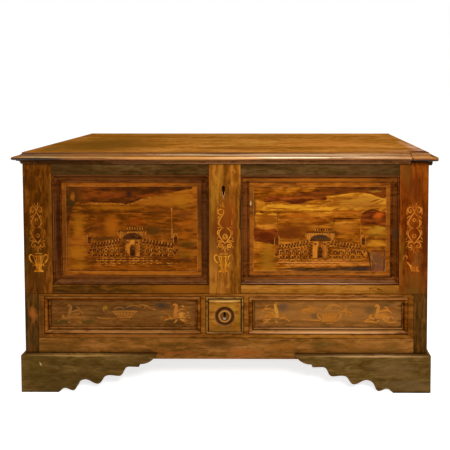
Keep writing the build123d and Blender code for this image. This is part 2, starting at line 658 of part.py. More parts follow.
def cut_strap_recesses():
    """Let both hinge straps into the underside of the lid board that is being built."""
    for x in HINGE_XS:
        with BuildSketch(Plane.XY.offset(LID_UNDER)) as recess:
            strap_plan(x, STRAP_PLAY, BACK + 1)
        extrude(recess.sketch, amount=STRAP_THICK + STRAP_PLAY, mode=Mode.SUBTRACT)


def nail(x, y, z, rotation, long=NAIL_LONG):
    """A hand-made nail. Its shank runs along local +Z from z and its head stands the other way."""
    with Locations(Location((x, y, z), rotation)):
        Cylinder(NAIL_SHANK, long, align=(Align.CENTER, Align.CENTER, Align.MIN))
    with Locations(Location((x, y, z), rotation) * Location((0, 0, -NAIL_HEAD_HIGH))):
        Cone(NAIL_HEAD * 0.55, NAIL_HEAD, NAIL_HEAD_HIGH,
             align=(Align.CENTER, Align.CENTER, Align.MIN))  # fmt: skip


LID_BOARD_YS = {
    "front": (EDGE_BACK_Y + BOARD_GAP, EDGE_BACK_Y + 181.0),
    "middle": (EDGE_BACK_Y + 181.0 + BOARD_GAP, EDGE_BACK_Y + 352.0),
    "back": (EDGE_BACK_Y + 352.0 + BOARD_GAP, BACK),
}
LID_BOARD_HALF = EDGE_INNER - BOARD_GAP
for place, (y0, y1) in LID_BOARD_YS.items():
    with BuildPart() as lid_board:
        block(-LID_BOARD_HALF, LID_BOARD_HALF, y0, y1, LID_UNDER, LID_TOP)
        cut_strap_recesses()
    lid_board.part.label = f"lid_board_{place}"
    export_step(lid_board.part, f"parts/lid_board_{place}.step")

BATTEN_XS = (-250.0, 250.0)
BATTEN_WIDTH = 52.0
BATTEN_THICK = 20.0
BATTEN_FRONT = BEHIND_FRAME + 42.0
BATTEN_BACK = BEFORE_BACK - 30.0
with BuildPart() as lid_battens:
    for x in BATTEN_XS:
        block(x - BATTEN_WIDTH / 2, x + BATTEN_WIDTH / 2, BATTEN_FRONT, BATTEN_BACK,
              LID_UNDER - BATTEN_THICK, LID_UNDER)  # fmt: skip
    chamfer(lid_battens.edges().filter_by(Axis.Y).group_by(Axis.Z)[0], 5.0)
lid_battens.part.label = "lid_battens"
export_step(lid_battens.part, "parts/lid_battens.step")

with BuildPart() as hinge_straps:
    for x in HINGE_XS:
        with BuildSketch(Plane.XY.offset(LID_UNDER)):
            strap_plan(x, 0.0, BACK)
            with Locations((x, (BACK + PIVOT_Y) / 2)):
                Rectangle(2 * STRAP_ROOT_HALF, PIVOT_OUT)
        extrude(amount=STRAP_THICK)
        with Locations(Location((x, PIVOT_Y, PIVOT_Z), (0, 90, 0))):
            Cylinder(KNUCKLE_RADIUS, 2 * STRAP_ROOT_HALF)
    for x in HINGE_XS:
        with Locations(Location((x, PIVOT_Y, PIVOT_Z), (0, 90, 0))):
            Cylinder(PIN_BORE, 3 * STRAP_ROOT_HALF, mode=Mode.SUBTRACT)
        for y in STRAP_NAIL_YS:
            with Locations((x, y, LID_UNDER)):
                Cylinder(NAIL_HOLE, 3 * STRAP_THICK, mode=Mode.SUBTRACT)
hinge_straps.part.label = "hinge_straps"
export_step(hinge_straps.part, "parts/hinge_straps.step")

STAPLE_X = CHEST_KEY_X
STAPLE_NAIL_X = 28.0
STAPLE_NAIL_Y = FRONT + 47.0
STAPLE_PLATE_THICK = 2.5
BATTEN_NAIL_YS = tuple(BATTEN_FRONT + 30.0 + 125.0 * step for step in range(4))
with BuildPart() as lid_nails:
    for x in HINGE_XS:
        for y in STRAP_NAIL_YS:
            nail(x, y, LID_UNDER, (0, 0, 0))
    for x in BATTEN_XS:
        for y in BATTEN_NAIL_YS:
            nail(x, y, LID_UNDER - BATTEN_THICK, (0, 0, 0), BATTEN_THICK + SHORT_NAIL)
    for side in (-1, 1):
        nail_x = STAPLE_X + side * STAPLE_NAIL_X
        nail(nail_x, STAPLE_NAIL_Y, LID_UNDER - STAPLE_PLATE_THICK, (0, 0, 0))
lid_nails.part.label = "lid_nails"
export_step(lid_nails.part, "parts/lid_nails.step")

# ---------------------------------------------------------------- hinge leaves and pins on the back
LEAF_HALF = 31.0
LEAF_THICK = 3.0
LEAF_TOP = BODY_TOP - 0.1
LEAF_LONG = 105.0
LEAF_NAIL_DROPS = (28.0, 60.0, 92.0)
PIN_OVER = 2.0  # pin past the leaf at each end
PIN_HEAD_RADIUS = 4.0
PIN_HEAD_THICK = 2.0
PIN_HEAD_GAP = 0.2
KNUCKLE_GAP = 0.4
with BuildPart() as hinge_leaves:
    for x in HINGE_XS:
        block(x - LEAF_HALF, x + LEAF_HALF, BACK, BACK + LEAF_THICK, LEAF_TOP - LEAF_LONG, LEAF_TOP)
        knuckle = LEAF_HALF - STRAP_ROOT_HALF - KNUCKLE_GAP
        for side in (-1, 1):
            middle = x + side * (LEAF_HALF - knuckle / 2)
            with Locations(Location((middle, PIVOT_Y, PIVOT_Z), (0, 90, 0))):
                Cylinder(KNUCKLE_RADIUS, knuckle)
        block(x - STRAP_ROOT_HALF - KNUCKLE_GAP, x + STRAP_ROOT_HALF + KNUCKLE_GAP, BACK,
              PIVOT_Y + KNUCKLE_RADIUS, PIVOT_Z - KNUCKLE_RADIUS - 1, PIVOT_Z + KNUCKLE_RADIUS,
              Mode.SUBTRACT)  # fmt: skip
        with Locations(Location((x, PIVOT_Y, PIVOT_Z), (0, 90, 0))):
            Cylinder(PIN_BORE, 3 * LEAF_HALF, mode=Mode.SUBTRACT)
        for drop in LEAF_NAIL_DROPS:
            with Locations(Location((x, BACK, LEAF_TOP - drop), (90, 0, 0))):
                Cylinder(NAIL_HOLE, 3 * LEAF_THICK, mode=Mode.SUBTRACT)
hinge_leaves.part.label = "hinge_leaves"
export_step(hinge_leaves.part, "parts/hinge_leaves.step")

with BuildPart() as hinge_pins:
    for x in HINGE_XS:
        with Locations(Location((x, PIVOT_Y, PIVOT_Z), (0, 90, 0))):
            Cylinder(PIN_RADIUS, 2 * (LEAF_HALF + PIN_OVER))
        for side in (-1, 1):
            head_x = x + side * (LEAF_HALF + PIN_HEAD_GAP + PIN_HEAD_THICK / 2)
            with Locations(Location((head_x, PIVOT_Y, PIVOT_Z), (0, 90, 0))):
                Cylinder(PIN_HEAD_RADIUS, PIN_HEAD_THICK)
hinge_pins.part.label = "hinge_pins"
export_step(hinge_pins.part, "parts/hinge_pins.step")

# ---------------------------------------------------------------- chest lock and its staple
STAPLE_HALF = 4.0
STAPLE_Y0 = FRONT + 34.5
STAPLE_LEG = 3.0
STAPLE_EYE = 6.0
STAPLE_Y1 = STAPLE_Y0 + 2 * STAPLE_LEG + STAPLE_EYE
STAPLE_BOTTOM = 785.0
STAPLE_EYE_BOTTOM = STAPLE_BOTTOM + 4.0
STAPLE_EYE_TOP = 812.0
STAPLE_PLATE_HALF = STAPLE_NAIL_X + 8.0
STAPLE_PLATE_Y0 = BEHIND_FRAME + 1.5
STAPLE_PLATE_Y1 = STAPLE_NAIL_Y + 15.0
with BuildPart() as lid_staple:
    block(STAPLE_X - STAPLE_PLATE_HALF, STAPLE_X + STAPLE_PLATE_HALF, STAPLE_PLATE_Y0,
          STAPLE_PLATE_Y1, LID_UNDER - STAPLE_PLATE_THICK, LID_UNDER)  # fmt: skip
    block(STAPLE_X - STAPLE_HALF, STAPLE_X + STAPLE_HALF, STAPLE_Y0, STAPLE_Y1, STAPLE_BOTTOM,
          LID_UNDER - STAPLE_PLATE_THICK)  # fmt: skip
    block(STAPLE_X - STAPLE_HALF, STAPLE_X + STAPLE_HALF, STAPLE_Y0 + STAPLE_LEG,
          STAPLE_Y1 - STAPLE_LEG, STAPLE_EYE_BOTTOM, STAPLE_EYE_TOP, Mode.SUBTRACT)  # fmt: skip
    for side in (-1, 1):
        with Locations((STAPLE_X + side * STAPLE_NAIL_X, STAPLE_NAIL_Y, LID_UNDER)):
            Cylinder(NAIL_HOLE, NAIL_LONG, mode=Mode.SUBTRACT)
lid_staple.part.label = "lid_staple"
export_step(lid_staple.part, "parts/lid_staple.step")

LOCK_HALF = 42.0
LOCK_X0 = CHEST_KEY_X - LOCK_HALF
LOCK_X1 = CHEST_KEY_X + LOCK_HALF
LOCK_Y1 = BEHIND_FRAME + 20.0
LOCK_Z0 = 702.0
LOCK_Z1 = 818.0
LOCK_WALL = 2.0
LOCK_FLANGE = 9.0
LOCK_NAIL_XS = (LOCK_X0 - LOCK_FLANGE / 2, LOCK_X1 + LOCK_FLANGE / 2)
LOCK_NAIL_ZS = (LOCK_Z0 + LOCK_FLANGE, LOCK_Z1 - LOCK_FLANGE)
CHEST_BOLT_Z0 = 794.0
CHEST_BOLT_Z1 = 806.0
CHEST_BOLT_Y0 = STAPLE_Y0 + STAPLE_LEG + 1.0
CHEST_BOLT_Y1 = STAPLE_Y1 - STAPLE_LEG - 1.0
CHEST_BOLT_END = STAPLE_X - STAPLE_HALF - 2.0  # bolt drawn back clear of the staple
CHEST_BOLT_START = LOCK_X0 - 6.0
BRIDGE_X = CHEST_BOLT_END - 8.0  # an upright plate inside the case guides the bolt
BRIDGE_THICK = 3.0
BRIDGE_DROP = 8.0  # below the bolt
TALON_X1 = BRIDGE_X - 17.0  # the key pushes the bolt by this tooth
TALON_WIDTH = 8.0
TALON_DROP = 14.0
STAPLE_SLOT_FRONT = 3.4  # room ahead of the staple, which swings forwards as the lid lifts
STAPLE_SLOT_BACK = 1.5
STAPLE_SLOT_SIDE = 1.0
DRILL_PIN_RADIUS = 2.0  # the hollow key turns on this pin
DRILL_PIN_START = 4.0  # behind the frame
with BuildPart() as chest_lock_case:
    block(LOCK_X0, LOCK_X1, BEHIND_FRAME, LOCK_Y1, LOCK_Z0, LOCK_Z1)
    block(LOCK_X0 + LOCK_WALL, LOCK_X1 - LOCK_WALL, BEHIND_FRAME, LOCK_Y1 - LOCK_WALL,
          LOCK_Z0 + LOCK_WALL, LOCK_Z1 - LOCK_WALL, Mode.SUBTRACT)  # fmt: skip
    block(BRIDGE_X - BRIDGE_THICK, BRIDGE_X, BEHIND_FRAME, LOCK_Y1 - LOCK_WALL,
          CHEST_BOLT_Z0 - BRIDGE_DROP, LOCK_Z1 - LOCK_WALL)  # fmt: skip
    for side_x in (LOCK_X0 - LOCK_FLANGE, LOCK_X1):
        block(side_x, side_x + LOCK_FLANGE, BEHIND_FRAME, BEHIND_FRAME + LOCK_WALL, LOCK_Z0, LOCK_Z1)
    block(LOCK_X0 - 1, BRIDGE_X + 1, CHEST_BOLT_Y0 - BOLT_PLAY, CHEST_BOLT_Y1 + BOLT_PLAY,
          CHEST_BOLT_Z0 - BOLT_PLAY, CHEST_BOLT_Z1 + BOLT_PLAY, Mode.SUBTRACT)  # fmt: skip
    block(STAPLE_X - STAPLE_HALF - STAPLE_SLOT_SIDE, STAPLE_X + STAPLE_HALF + STAPLE_SLOT_SIDE,
          STAPLE_Y0 - STAPLE_SLOT_FRONT, STAPLE_Y1 + STAPLE_SLOT_BACK,
          LOCK_Z1 - LOCK_WALL - 1, LOCK_Z1 + 1, Mode.SUBTRACT)  # fmt: skip
    drill_pin_y = BEHIND_FRAME + DRILL_PIN_START
    with Locations(Location((CHEST_KEY_X, drill_pin_y, CHEST_KEY_Z), (-90, 0, 0))):
        Cylinder(DRILL_PIN_RADIUS, LOCK_Y1 - drill_pin_y,
                 align=(Align.CENTER, Align.CENTER, Align.MIN))  # fmt: skip
    for flange_x in LOCK_NAIL_XS:
        for z in LOCK_NAIL_ZS:
            with Locations(Location((flange_x, BEHIND_FRAME, z), (90, 0, 0))):
                Cylinder(NAIL_HOLE, SHORT_NAIL, mode=Mode.SUBTRACT)
chest_lock_case.part.label = "chest_lock_case"
export_step(chest_lock_case.part, "parts/chest_lock_case.step")

with BuildPart() as chest_lock_bolt:
    block(CHEST_BOLT_START, CHEST_BOLT_END, CHEST_BOLT_Y0, CHEST_BOLT_Y1, CHEST_BOLT_Z0,
          CHEST_BOLT_Z1)  # fmt: skip
    block(TALON_X1 - TALON_WIDTH, TALON_X1, CHEST_BOLT_Y0, CHEST_BOLT_Y1,
          CHEST_BOLT_Z0 - TALON_DROP, CHEST_BOLT_Z0)  # fmt: skip
chest_lock_bolt.part.label = "chest_lock_bolt"
export_step(chest_lock_bolt.part, "parts/chest_lock_bolt.step")

SPRING_THICK = 1.0
CHEST_SPRING_Z = CHEST_BOLT_Z0 - TALON_DROP - 2.0  # crown of the bowed leaf, under the talon
CHEST_SPRING_DROP = 10.0
with BuildPart() as chest_lock_spring:
    with BuildSketch(Plane.XZ.offset(-CHEST_BOLT_Y1)):
        with BuildLine():
            spring_line = ThreePointArc((LOCK_X0 + 4, CHEST_SPRING_Z - CHEST_SPRING_DROP),
                                        (CHEST_KEY_X - 16, CHEST_SPRING_Z),
                                        (CHEST_KEY_X + 24, CHEST_SPRING_Z - 14))  # fmt: skip
            offset(spring_line, amount=SPRING_THICK / 2, side=Side.BOTH)
        make_face()
    extrude(amount=CHEST_BOLT_Y1 - CHEST_BOLT_Y0)
chest_lock_spring.part.label = "chest_lock_spring"
export_step(chest_lock_spring.part, "parts/chest_lock_spring.step")

with BuildPart() as case_nails:
    for x in HINGE_XS:
        for drop in LEAF_NAIL_DROPS:
            nail(x, BACK + LEAF_THICK, LEAF_TOP - drop, (90, 0, 0))
    for flange_x in LOCK_NAIL_XS:
        for z in LOCK_NAIL_ZS:
            nail(flange_x, BEHIND_FRAME + LOCK_WALL, z, (90, 0, 0), SHORT_NAIL)
case_nails.part.label = "case_nails"
export_step(case_nails.part, "parts/case_nails.step")

# ================================================================ drawer
FIELD_Z0 = 208.0  # outer edges of the applied mouldings
FIELD_Z1 = 343.5
FIELD_X = 655.0
BLOCK_X = -4.0
BLOCK_Z = 273.0
CENTER_STRIP = 19.0  # plain upright each side of the middle frame
CENTER_FRAME_HALF = 68.0
CENTER_FRAME_WIDTH = 7.0
BLOCK_HALF = 57.0
BLOCK_PROUD = 2.0  # block face ahead of the frame's face
BLOCK_BEVEL = 4.5
ROSETTE_RADIUS = 37.0
ROSETTE_SUNK = 7.0  # thickness let into the block
ROSETTE_PLAY = 0.3

DRAWER_FIELDS = {
    "left": (-FIELD_X, BLOCK_X - CENTER_FRAME_HALF - CENTER_STRIP),
    "right": (BLOCK_X + CENTER_FRAME_HALF + CENTER_STRIP, FIELD_X),
}

DOVETAIL_ZS = (218.0, 266.0, 314.0)
DOVETAIL_ROOT = 30.0
DOVETAIL_TIP = 36.0
DOVETAIL_LONG = 14.0
DOVETAIL_PLAY = 0.15

DRAWER_BOARD_Z0 = 203.0  # drawer bottom boards
DRAWER_BOARD_Z1 = 211.0
GROOVE_DEEP = 6.0
GROOVE_PLAY = 0.2

DRAWER_LOCK_HALF = 43.0
DRAWER_LOCK_Z0 = 260.0
DRAWER_LOCK_Z1 = 330.0
DRAWER_LOCK_Y0 = FRONT + 20.2
DRAWER_LOCK_PLAY = 0.3
DRAWER_PLATE_OVER = 9.0
DRAWER_PLATE_THICK = 2.0


def dovetails(x0, x1, play, mode):
    """Three tails on the front end of a drawer side, or with play their sockets."""
    tip_y = DRAWER_FRONT_BACK - DOVETAIL_LONG - play
    root = DOVETAIL_ROOT / 2 + play
    tip = DOVETAIL_TIP / 2 + play
    with BuildSketch(Plane.YZ.offset(x0)) as tails:
        for z in DOVETAIL_ZS:
            Polygon((DRAWER_FRONT_BACK, z - root), (DRAWER_FRONT_BACK, z + root), (tip_y, z + tip),
                    (tip_y, z - tip), align=None)  # fmt: skip
    extrude(tails.sketch, amount=x1 - x0, mode=mode)


def bottom_boards(play, mode=Mode.ADD):
    """The drawer's bottom boards, or with play the room they need in their grooves."""
    reach = DRAWER_SIDE_IN + GROOVE_DEEP
    y0 = DRAWER_FRONT_BACK - GROOVE_DEEP
    block(-reach - play, reach + play, y0 - play, DRAWER_BACK_END + play, DRAWER_BOARD_Z0 - play,
          DRAWER_BOARD_Z1 + play, mode)  # fmt: skip


with BuildPart() as drawer_front:
    block(-DRAWER_HALF, DRAWER_HALF, DRAWER_FIELD, DRAWER_FRONT_BACK, DRAWER_BOTTOM, DRAWER_TOP)
    dovetails(DRAWER_SIDE_IN - DOVETAIL_PLAY, DRAWER_HALF, DOVETAIL_PLAY, Mode.SUBTRACT)
    dovetails(-DRAWER_HALF, DOVETAIL_PLAY - DRAWER_SIDE_IN, DOVETAIL_PLAY, Mode.SUBTRACT)
    bottom_boards(GROOVE_PLAY, Mode.SUBTRACT)
    block(DRAWER_LOCK_X - DRAWER_LOCK_HALF - DRAWER_LOCK_PLAY,
          DRAWER_LOCK_X + DRAWER_LOCK_HALF + DRAWER_LOCK_PLAY,
          DRAWER_LOCK_Y0 - DRAWER_LOCK_PLAY, DRAWER_FRONT_BACK,
          DRAWER_LOCK_Z0 - DRAWER_LOCK_PLAY, DRAWER_LOCK_Z1 + DRAWER_LOCK_PLAY,
          Mode.SUBTRACT)  # fmt: skip
    block(DRAWER_LOCK_X - DRAWER_BOLT_WIDTH / 2 - BOLT_PLAY,
          DRAWER_LOCK_X + DRAWER_BOLT_WIDTH / 2 + BOLT_PLAY,
          DRAWER_BOLT_Y0 - BOLT_PLAY, DRAWER_BOLT_Y1 + BOLT_PLAY,
          DRAWER_LOCK_Z1, DRAWER_TOP, Mode.SUBTRACT)  # fmt: skip
    keyhole(DRAWER_KEY_X, DRAWER_KEY_Z, DRAWER_KEY_DROP, DRAWER_FIELD, DRAWER_LOCK_Y0)
drawer_front.part.label = "drawer_front"
export_step(drawer_front.part, "parts/drawer_front.step")

with BuildPart() as drawer_sides:
    for side in (-1, 1):
        low, high = sorted((side * DRAWER_SIDE_IN, side * DRAWER_SIDE_OUT))
        block(low, high, DRAWER_FRONT_BACK, DRAWER_BACK_END, DRAWER_SIDE_Z0, DRAWER_SIDE_Z1)
        dovetails(low, high, 0.0, Mode.ADD)
    bottom_boards(GROOVE_PLAY, Mode.SUBTRACT)
drawer_sides.part.label = "drawer_sides"
export_step(drawer_sides.part, "parts/drawer_sides.step")

DRAWER_BACK_THICK = 14.0
DRAWER_BACK_Z1 = 330.0
DRAWER_BACK_IN = 8.0  # back set in from the ends of the sides
DRAWER_BACK_Y0 = DRAWER_BACK_END - DRAWER_BACK_IN - DRAWER_BACK_THICK
with BuildPart() as drawer_back:
    block(-DRAWER_SIDE_IN, DRAWER_SIDE_IN, DRAWER_BACK_Y0, DRAWER_BACK_Y0 + DRAWER_BACK_THICK,
          DRAWER_BOARD_Z1, DRAWER_BACK_Z1)  # fmt: skip
drawer_back.part.label = "drawer_back"
export_step(drawer_back.part, "parts/drawer_back.step")

DRAWER_BOARD_SEAMS = (-452.0, -158.0, 171.0, 448.0)
with BuildPart() as drawer_bottom:
    bottom_boards(0.0)
    for seam in DRAWER_BOARD_SEAMS:
        block(seam - BOARD_GAP / 2, seam + BOARD_GAP / 2, DRAWER_FIELD, DRAWER_BACK_END + 1,
              DRAWER_BOARD_Z0 - 1, DRAWER_BOARD_Z1 + 1, Mode.SUBTRACT)  # fmt: skip
drawer_bottom.part.label = "drawer_bottom"
export_step(drawer_bottom.part, "parts/drawer_bottom.step")


def border_strip(*corners):
    """A flat strip of the drawer's plain border, seen from the front."""
    with BuildSketch(Plane.XZ.offset(-DRAWER_FIELD)) as strip:
        Polygon(*corners, align=None)
    extrude(strip.sketch, amount=DRAWER_FIELD - DRAWER_FACE)


with BuildPart() as drawer_border:
    half = DRAWER_HALF - MITRE_GAP
    border_strip((-half, DRAWER_TOP), (half, DRAWER_TOP), (FIELD_X, FIELD_Z1), (-FIELD_X, FIELD_Z1))
    border_strip((-half, DRAWER_BOTTOM), (-FIELD_X, FIELD_Z0), (FIELD_X, FIELD_Z0),
                 (half, DRAWER_BOTTOM))  # fmt: skip
    for side in (-1, 1):
        border_strip((side * DRAWER_HALF, DRAWER_BOTTOM + MITRE_GAP),
                     (side * DRAWER_HALF, DRAWER_TOP - MITRE_GAP),
                     (side * (FIELD_X + MITRE_GAP), FIELD_Z1 - MITRE_GAP),
                     (side * (FIELD_X + MITRE_GAP), FIELD_Z0 + MITRE_GAP))  # fmt: skip
        near = BLOCK_X + side * CENTER_FRAME_HALF
        far = near + side * CENTER_STRIP
        border_strip((near, FIELD_Z0 + MITRE_GAP), (near, FIELD_Z1 - MITRE_GAP),
                     (far, FIELD_Z1 - MITRE_GAP), (far, FIELD_Z0 + MITRE_GAP))  # fmt: skip
drawer_border.part.label = "drawer_border"
export_step(drawer_border.part, "parts/drawer_border.step")

DRAWER_MOULDING = 19.0
DRAWER_MOULDING_PROUD = 3.0  # ahead of the border
DRAWER_MOULDING_BACK = DRAWER_FIELD - DRAWER_FACE


def drawer_moulding_outline():
    """Broad bead that laps above the border, quirk and small inner bead. Y zero is the border."""
    bead_end = 12.0
    quirk_y = 3.4
    inner_start = 14.4
    inner_y = 6.4
    Polyline((DRAWER_MOULDING_BACK, DRAWER_MOULDING), (DRAWER_MOULDING_BACK, 0), (0.6, 0))
    ThreePointArc((0.6, 0), (-DRAWER_MOULDING_PROUD, bead_end / 2), (quirk_y - 1.2, bead_end))
    Polyline((quirk_y - 1.2, bead_end), (quirk_y + 1.6, bead_end + 0.5), (inner_y, inner_start))
    ThreePointArc((inner_y, inner_start), (inner_y - 2.1, (inner_start + DRAWER_MOULDING) / 2),
                  (inner_y, DRAWER_MOULDING))  # fmt: skip
    Line((inner_y, DRAWER_MOULDING), (DRAWER_MOULDING_BACK, DRAWER_MOULDING))


for hand, (x0, x1) in DRAWER_FIELDS.items():
    with BuildPart() as drawer_moulding:
        mitred_frame(drawer_moulding_outline, DRAWER_MOULDING, x0, x1, DRAWER_FACE, FIELD_Z0,
                     FIELD_Z1)  # fmt: skip
    drawer_moulding.part.label = f"drawer_moulding_{hand}"
    export_step(drawer_moulding.part, f"parts/drawer_moulding_{hand}.step")


def block_moulding_outline():
    """Narrow half-round strip round the middle block. Y zero is the border."""
    Polyline((DRAWER_MOULDING_BACK, CENTER_FRAME_WIDTH), (DRAWER_MOULDING_BACK, 0), (0.8, 0))
    ThreePointArc((0.8, 0), (-1.6, CENTER_FRAME_WIDTH * 0.45), (1.6, CENTER_FRAME_WIDTH))
    Line((1.6, CENTER_FRAME_WIDTH), (DRAWER_MOULDING_BACK, CENTER_FRAME_WIDTH))


with BuildPart() as drawer_block_moulding:
    mitred_frame(block_moulding_outline, CENTER_FRAME_WIDTH, BLOCK_X - CENTER_FRAME_HALF,
                 BLOCK_X + CENTER_FRAME_HALF, DRAWER_FACE, FIELD_Z0, FIELD_Z1)  # fmt: skip
drawer_block_moulding.part.label = "drawer_block_moulding"
export_step(drawer_block_moulding.part, "parts/drawer_block_moulding.step")

BLOCK_FACE = FRONT - BLOCK_PROUD
with BuildPart() as drawer_block:
    block(BLOCK_X - BLOCK_HALF, BLOCK_X + BLOCK_HALF, BLOCK_FACE, DRAWER_FIELD,
          BLOCK_Z - BLOCK_HALF, BLOCK_Z + BLOCK_HALF)  # fmt: skip
    chamfer(drawer_block.faces().sort_by(Axis.Y)[0].edges(), BLOCK_BEVEL * 0.5, BLOCK_BEVEL)
    with Locations(Location((BLOCK_X, BLOCK_FACE, BLOCK_Z), (-90, 0, 0))):
        Cylinder(ROSETTE_RADIUS + ROSETTE_PLAY, ROSETTE_SUNK,
                 align=(Align.CENTER, Align.CENTER, Align.MIN), mode=Mode.SUBTRACT)  # fmt: skip
    keyhole(DRAWER_KEY_X, DRAWER_KEY_Z, DRAWER_KEY_DROP, BLOCK_FACE, DRAWER_FIELD)
drawer_block.part.label = "drawer_block"
export_step(drawer_block.part, "parts/drawer_block.step")

# Turned rosette: hollow, raised ring and dished middle.
RING_OUTER = 23.0
RING_INNER = 16.0
with BuildPart() as drawer_rosette:
    with BuildSketch(Plane.XY.offset(BLOCK_Z)):
        with BuildLine():
            base_y = BLOCK_FACE + ROSETTE_SUNK - 0.1
            Polyline((BLOCK_X, BLOCK_FACE + 3.6), (BLOCK_X, base_y), (BLOCK_X + ROSETTE_RADIUS, base_y),
                     (BLOCK_X + ROSETTE_RADIUS, BLOCK_FACE + 0.4),
                     (BLOCK_X + ROSETTE_RADIUS - 1.6, BLOCK_FACE + 0.4))  # fmt: skip
            ThreePointArc((BLOCK_X + ROSETTE_RADIUS - 1.6, BLOCK_FACE + 0.4),
                          (BLOCK_X + 30.0, BLOCK_FACE + 5.4),
                          (BLOCK_X + RING_OUTER, BLOCK_FACE + 2.4))  # fmt: skip
            ThreePointArc((BLOCK_X + RING_OUTER, BLOCK_FACE + 2.4),
                          (BLOCK_X + (RING_OUTER + RING_INNER) / 2, BLOCK_FACE - 0.8),
                          (BLOCK_X + RING_INNER, BLOCK_FACE + 2.0))  # fmt: skip
            ThreePointArc((BLOCK_X + RING_INNER, BLOCK_FACE + 2.0),
                          (BLOCK_X + 9.0, BLOCK_FACE + 3.4),
                          (BLOCK_X, BLOCK_FACE + 3.6))  # fmt: skip
        make_face()
    revolve(axis=Axis((BLOCK_X, 0, BLOCK_Z), (0, 1, 0)))
    keyhole(DRAWER_KEY_X, DRAWER_KEY_Z, DRAWER_KEY_DROP, BLOCK_FACE - 2, DRAWER_FIELD)
drawer_rosette.part.label = "drawer_rosette"
export_step(drawer_rosette.part, "parts/drawer_rosette.step")

# ---------------------------------------------------------------- drawer lock
PLATE_NAIL_XS = tuple(
    DRAWER_LOCK_X + side * (DRAWER_LOCK_HALF + DRAWER_PLATE_OVER / 2) for side in (-1, 1)
)
with BuildPart() as drawer_lock_case:
    x0 = DRAWER_LOCK_X - DRAWER_LOCK_HALF
    x1 = DRAWER_LOCK_X + DRAWER_LOCK_HALF
    wall = LOCK_WALL
    block(x0, x1, DRAWER_LOCK_Y0, DRAWER_FRONT_BACK, DRAWER_LOCK_Z0, DRAWER_LOCK_Z1)
    block(x0 - DRAWER_PLATE_OVER, x1 + DRAWER_PLATE_OVER, DRAWER_FRONT_BACK,
          DRAWER_FRONT_BACK + DRAWER_PLATE_THICK, DRAWER_LOCK_Z0 - DRAWER_PLATE_OVER,
          DRAWER_LOCK_Z1 + DRAWER_PLATE_OVER)  # fmt: skip
    block(x0 + wall, x1 - wall, DRAWER_LOCK_Y0, DRAWER_FRONT_BACK, DRAWER_LOCK_Z0 + wall,
          DRAWER_LOCK_Z1 - wall, Mode.SUBTRACT)  # fmt: skip
    block(DRAWER_LOCK_X - DRAWER_BOLT_WIDTH / 2 - BOLT_PLAY,
          DRAWER_LOCK_X + DRAWER_BOLT_WIDTH / 2 + BOLT_PLAY,
          DRAWER_BOLT_Y0 - BOLT_PLAY, DRAWER_BOLT_Y1 + BOLT_PLAY,
          DRAWER_LOCK_Z1 - wall - 1, DRAWER_LOCK_Z1 + 1, Mode.SUBTRACT)  # fmt: skip
    with Locations(Location((DRAWER_KEY_X, DRAWER_LOCK_Y0 + 2, DRAWER_KEY_Z), (-90, 0, 0))):
        Cylinder(DRILL_PIN_RADIUS, DRAWER_FRONT_BACK - DRAWER_LOCK_Y0 - 2,
                 align=(Align.CENTER, Align.CENTER, Align.MIN))  # fmt: skip
    for nail_x in PLATE_NAIL_XS:
        for z in (DRAWER_LOCK_Z0, DRAWER_LOCK_Z1):
            with Locations(Location((nail_x, DRAWER_FRONT_BACK, z), (90, 0, 0))):
                Cylinder(NAIL_HOLE, SHORT_NAIL, mode=Mode.SUBTRACT)
drawer_lock_case.part.label = "drawer_lock_case"
export_step(drawer_lock_case.part, "parts/drawer_lock_case.step")

DRAWER_BOLT_Z0 = 300.0
DRAWER_BOLT_TALON = 7.0
with BuildPart() as drawer_lock_bolt:
    block(DRAWER_LOCK_X - DRAWER_BOLT_WIDTH / 2, DRAWER_LOCK_X + DRAWER_BOLT_WIDTH / 2,
          DRAWER_BOLT_Y0, DRAWER_BOLT_Y1, DRAWER_BOLT_Z0, DRAWER_TOP - BOLT_PLAY)  # fmt: skip
    block(DRAWER_LOCK_X - DRAWER_BOLT_WIDTH, DRAWER_LOCK_X + DRAWER_BOLT_WIDTH,
          DRAWER_BOLT_Y0, DRAWER_BOLT_Y1, DRAWER_BOLT_Z0, DRAWER_BOLT_Z0 + DRAWER_BOLT_TALON)  # fmt: skip
drawer_lock_bolt.part.label = "drawer_lock_bolt"
export_step(drawer_lock_bolt.part, "parts/drawer_lock_bolt.step")

DRAWER_SPRING_Z = 293.0  # ends of the bowed leaf are below this level, its crown above
with BuildPart() as drawer_lock_spring:
    with BuildSketch(Plane.XZ.offset(-DRAWER_BOLT_Y1)):
        with BuildLine():
            spring_line = ThreePointArc((DRAWER_LOCK_X - 38, DRAWER_SPRING_Z - 7),
                                        (DRAWER_LOCK_X + 14, DRAWER_SPRING_Z + 3),
                                        (DRAWER_LOCK_X + 36, DRAWER_SPRING_Z - 3))  # fmt: skip
            offset(spring_line, amount=SPRING_THICK / 2, side=Side.BOTH)
        make_face()
    extrude(amount=DRAWER_BOLT_THICK)
drawer_lock_spring.part.label = "drawer_lock_spring"
export_step(drawer_lock_spring.part, "parts/drawer_lock_spring.step")

BACK_NAIL_XS = tuple(-560.0 + 280.0 * step for step in range(5))
with BuildPart() as drawer_nails:
    for nail_x in PLATE_NAIL_XS:
        for z in (DRAWER_LOCK_Z0, DRAWER_LOCK_Z1):
            nail(nail_x, DRAWER_FRONT_BACK + DRAWER_PLATE_THICK, z, (90, 0, 0), SHORT_NAIL)
    for nail_x in BACK_NAIL_XS:
        nail(nail_x, DRAWER_BACK_Y0 + DRAWER_BACK_THICK / 2, DRAWER_BOARD_Z0, (0, 0, 0))
drawer_nails.part.label = "drawer_nails"
export_step(drawer_nails.part, "parts/drawer_nails.step")
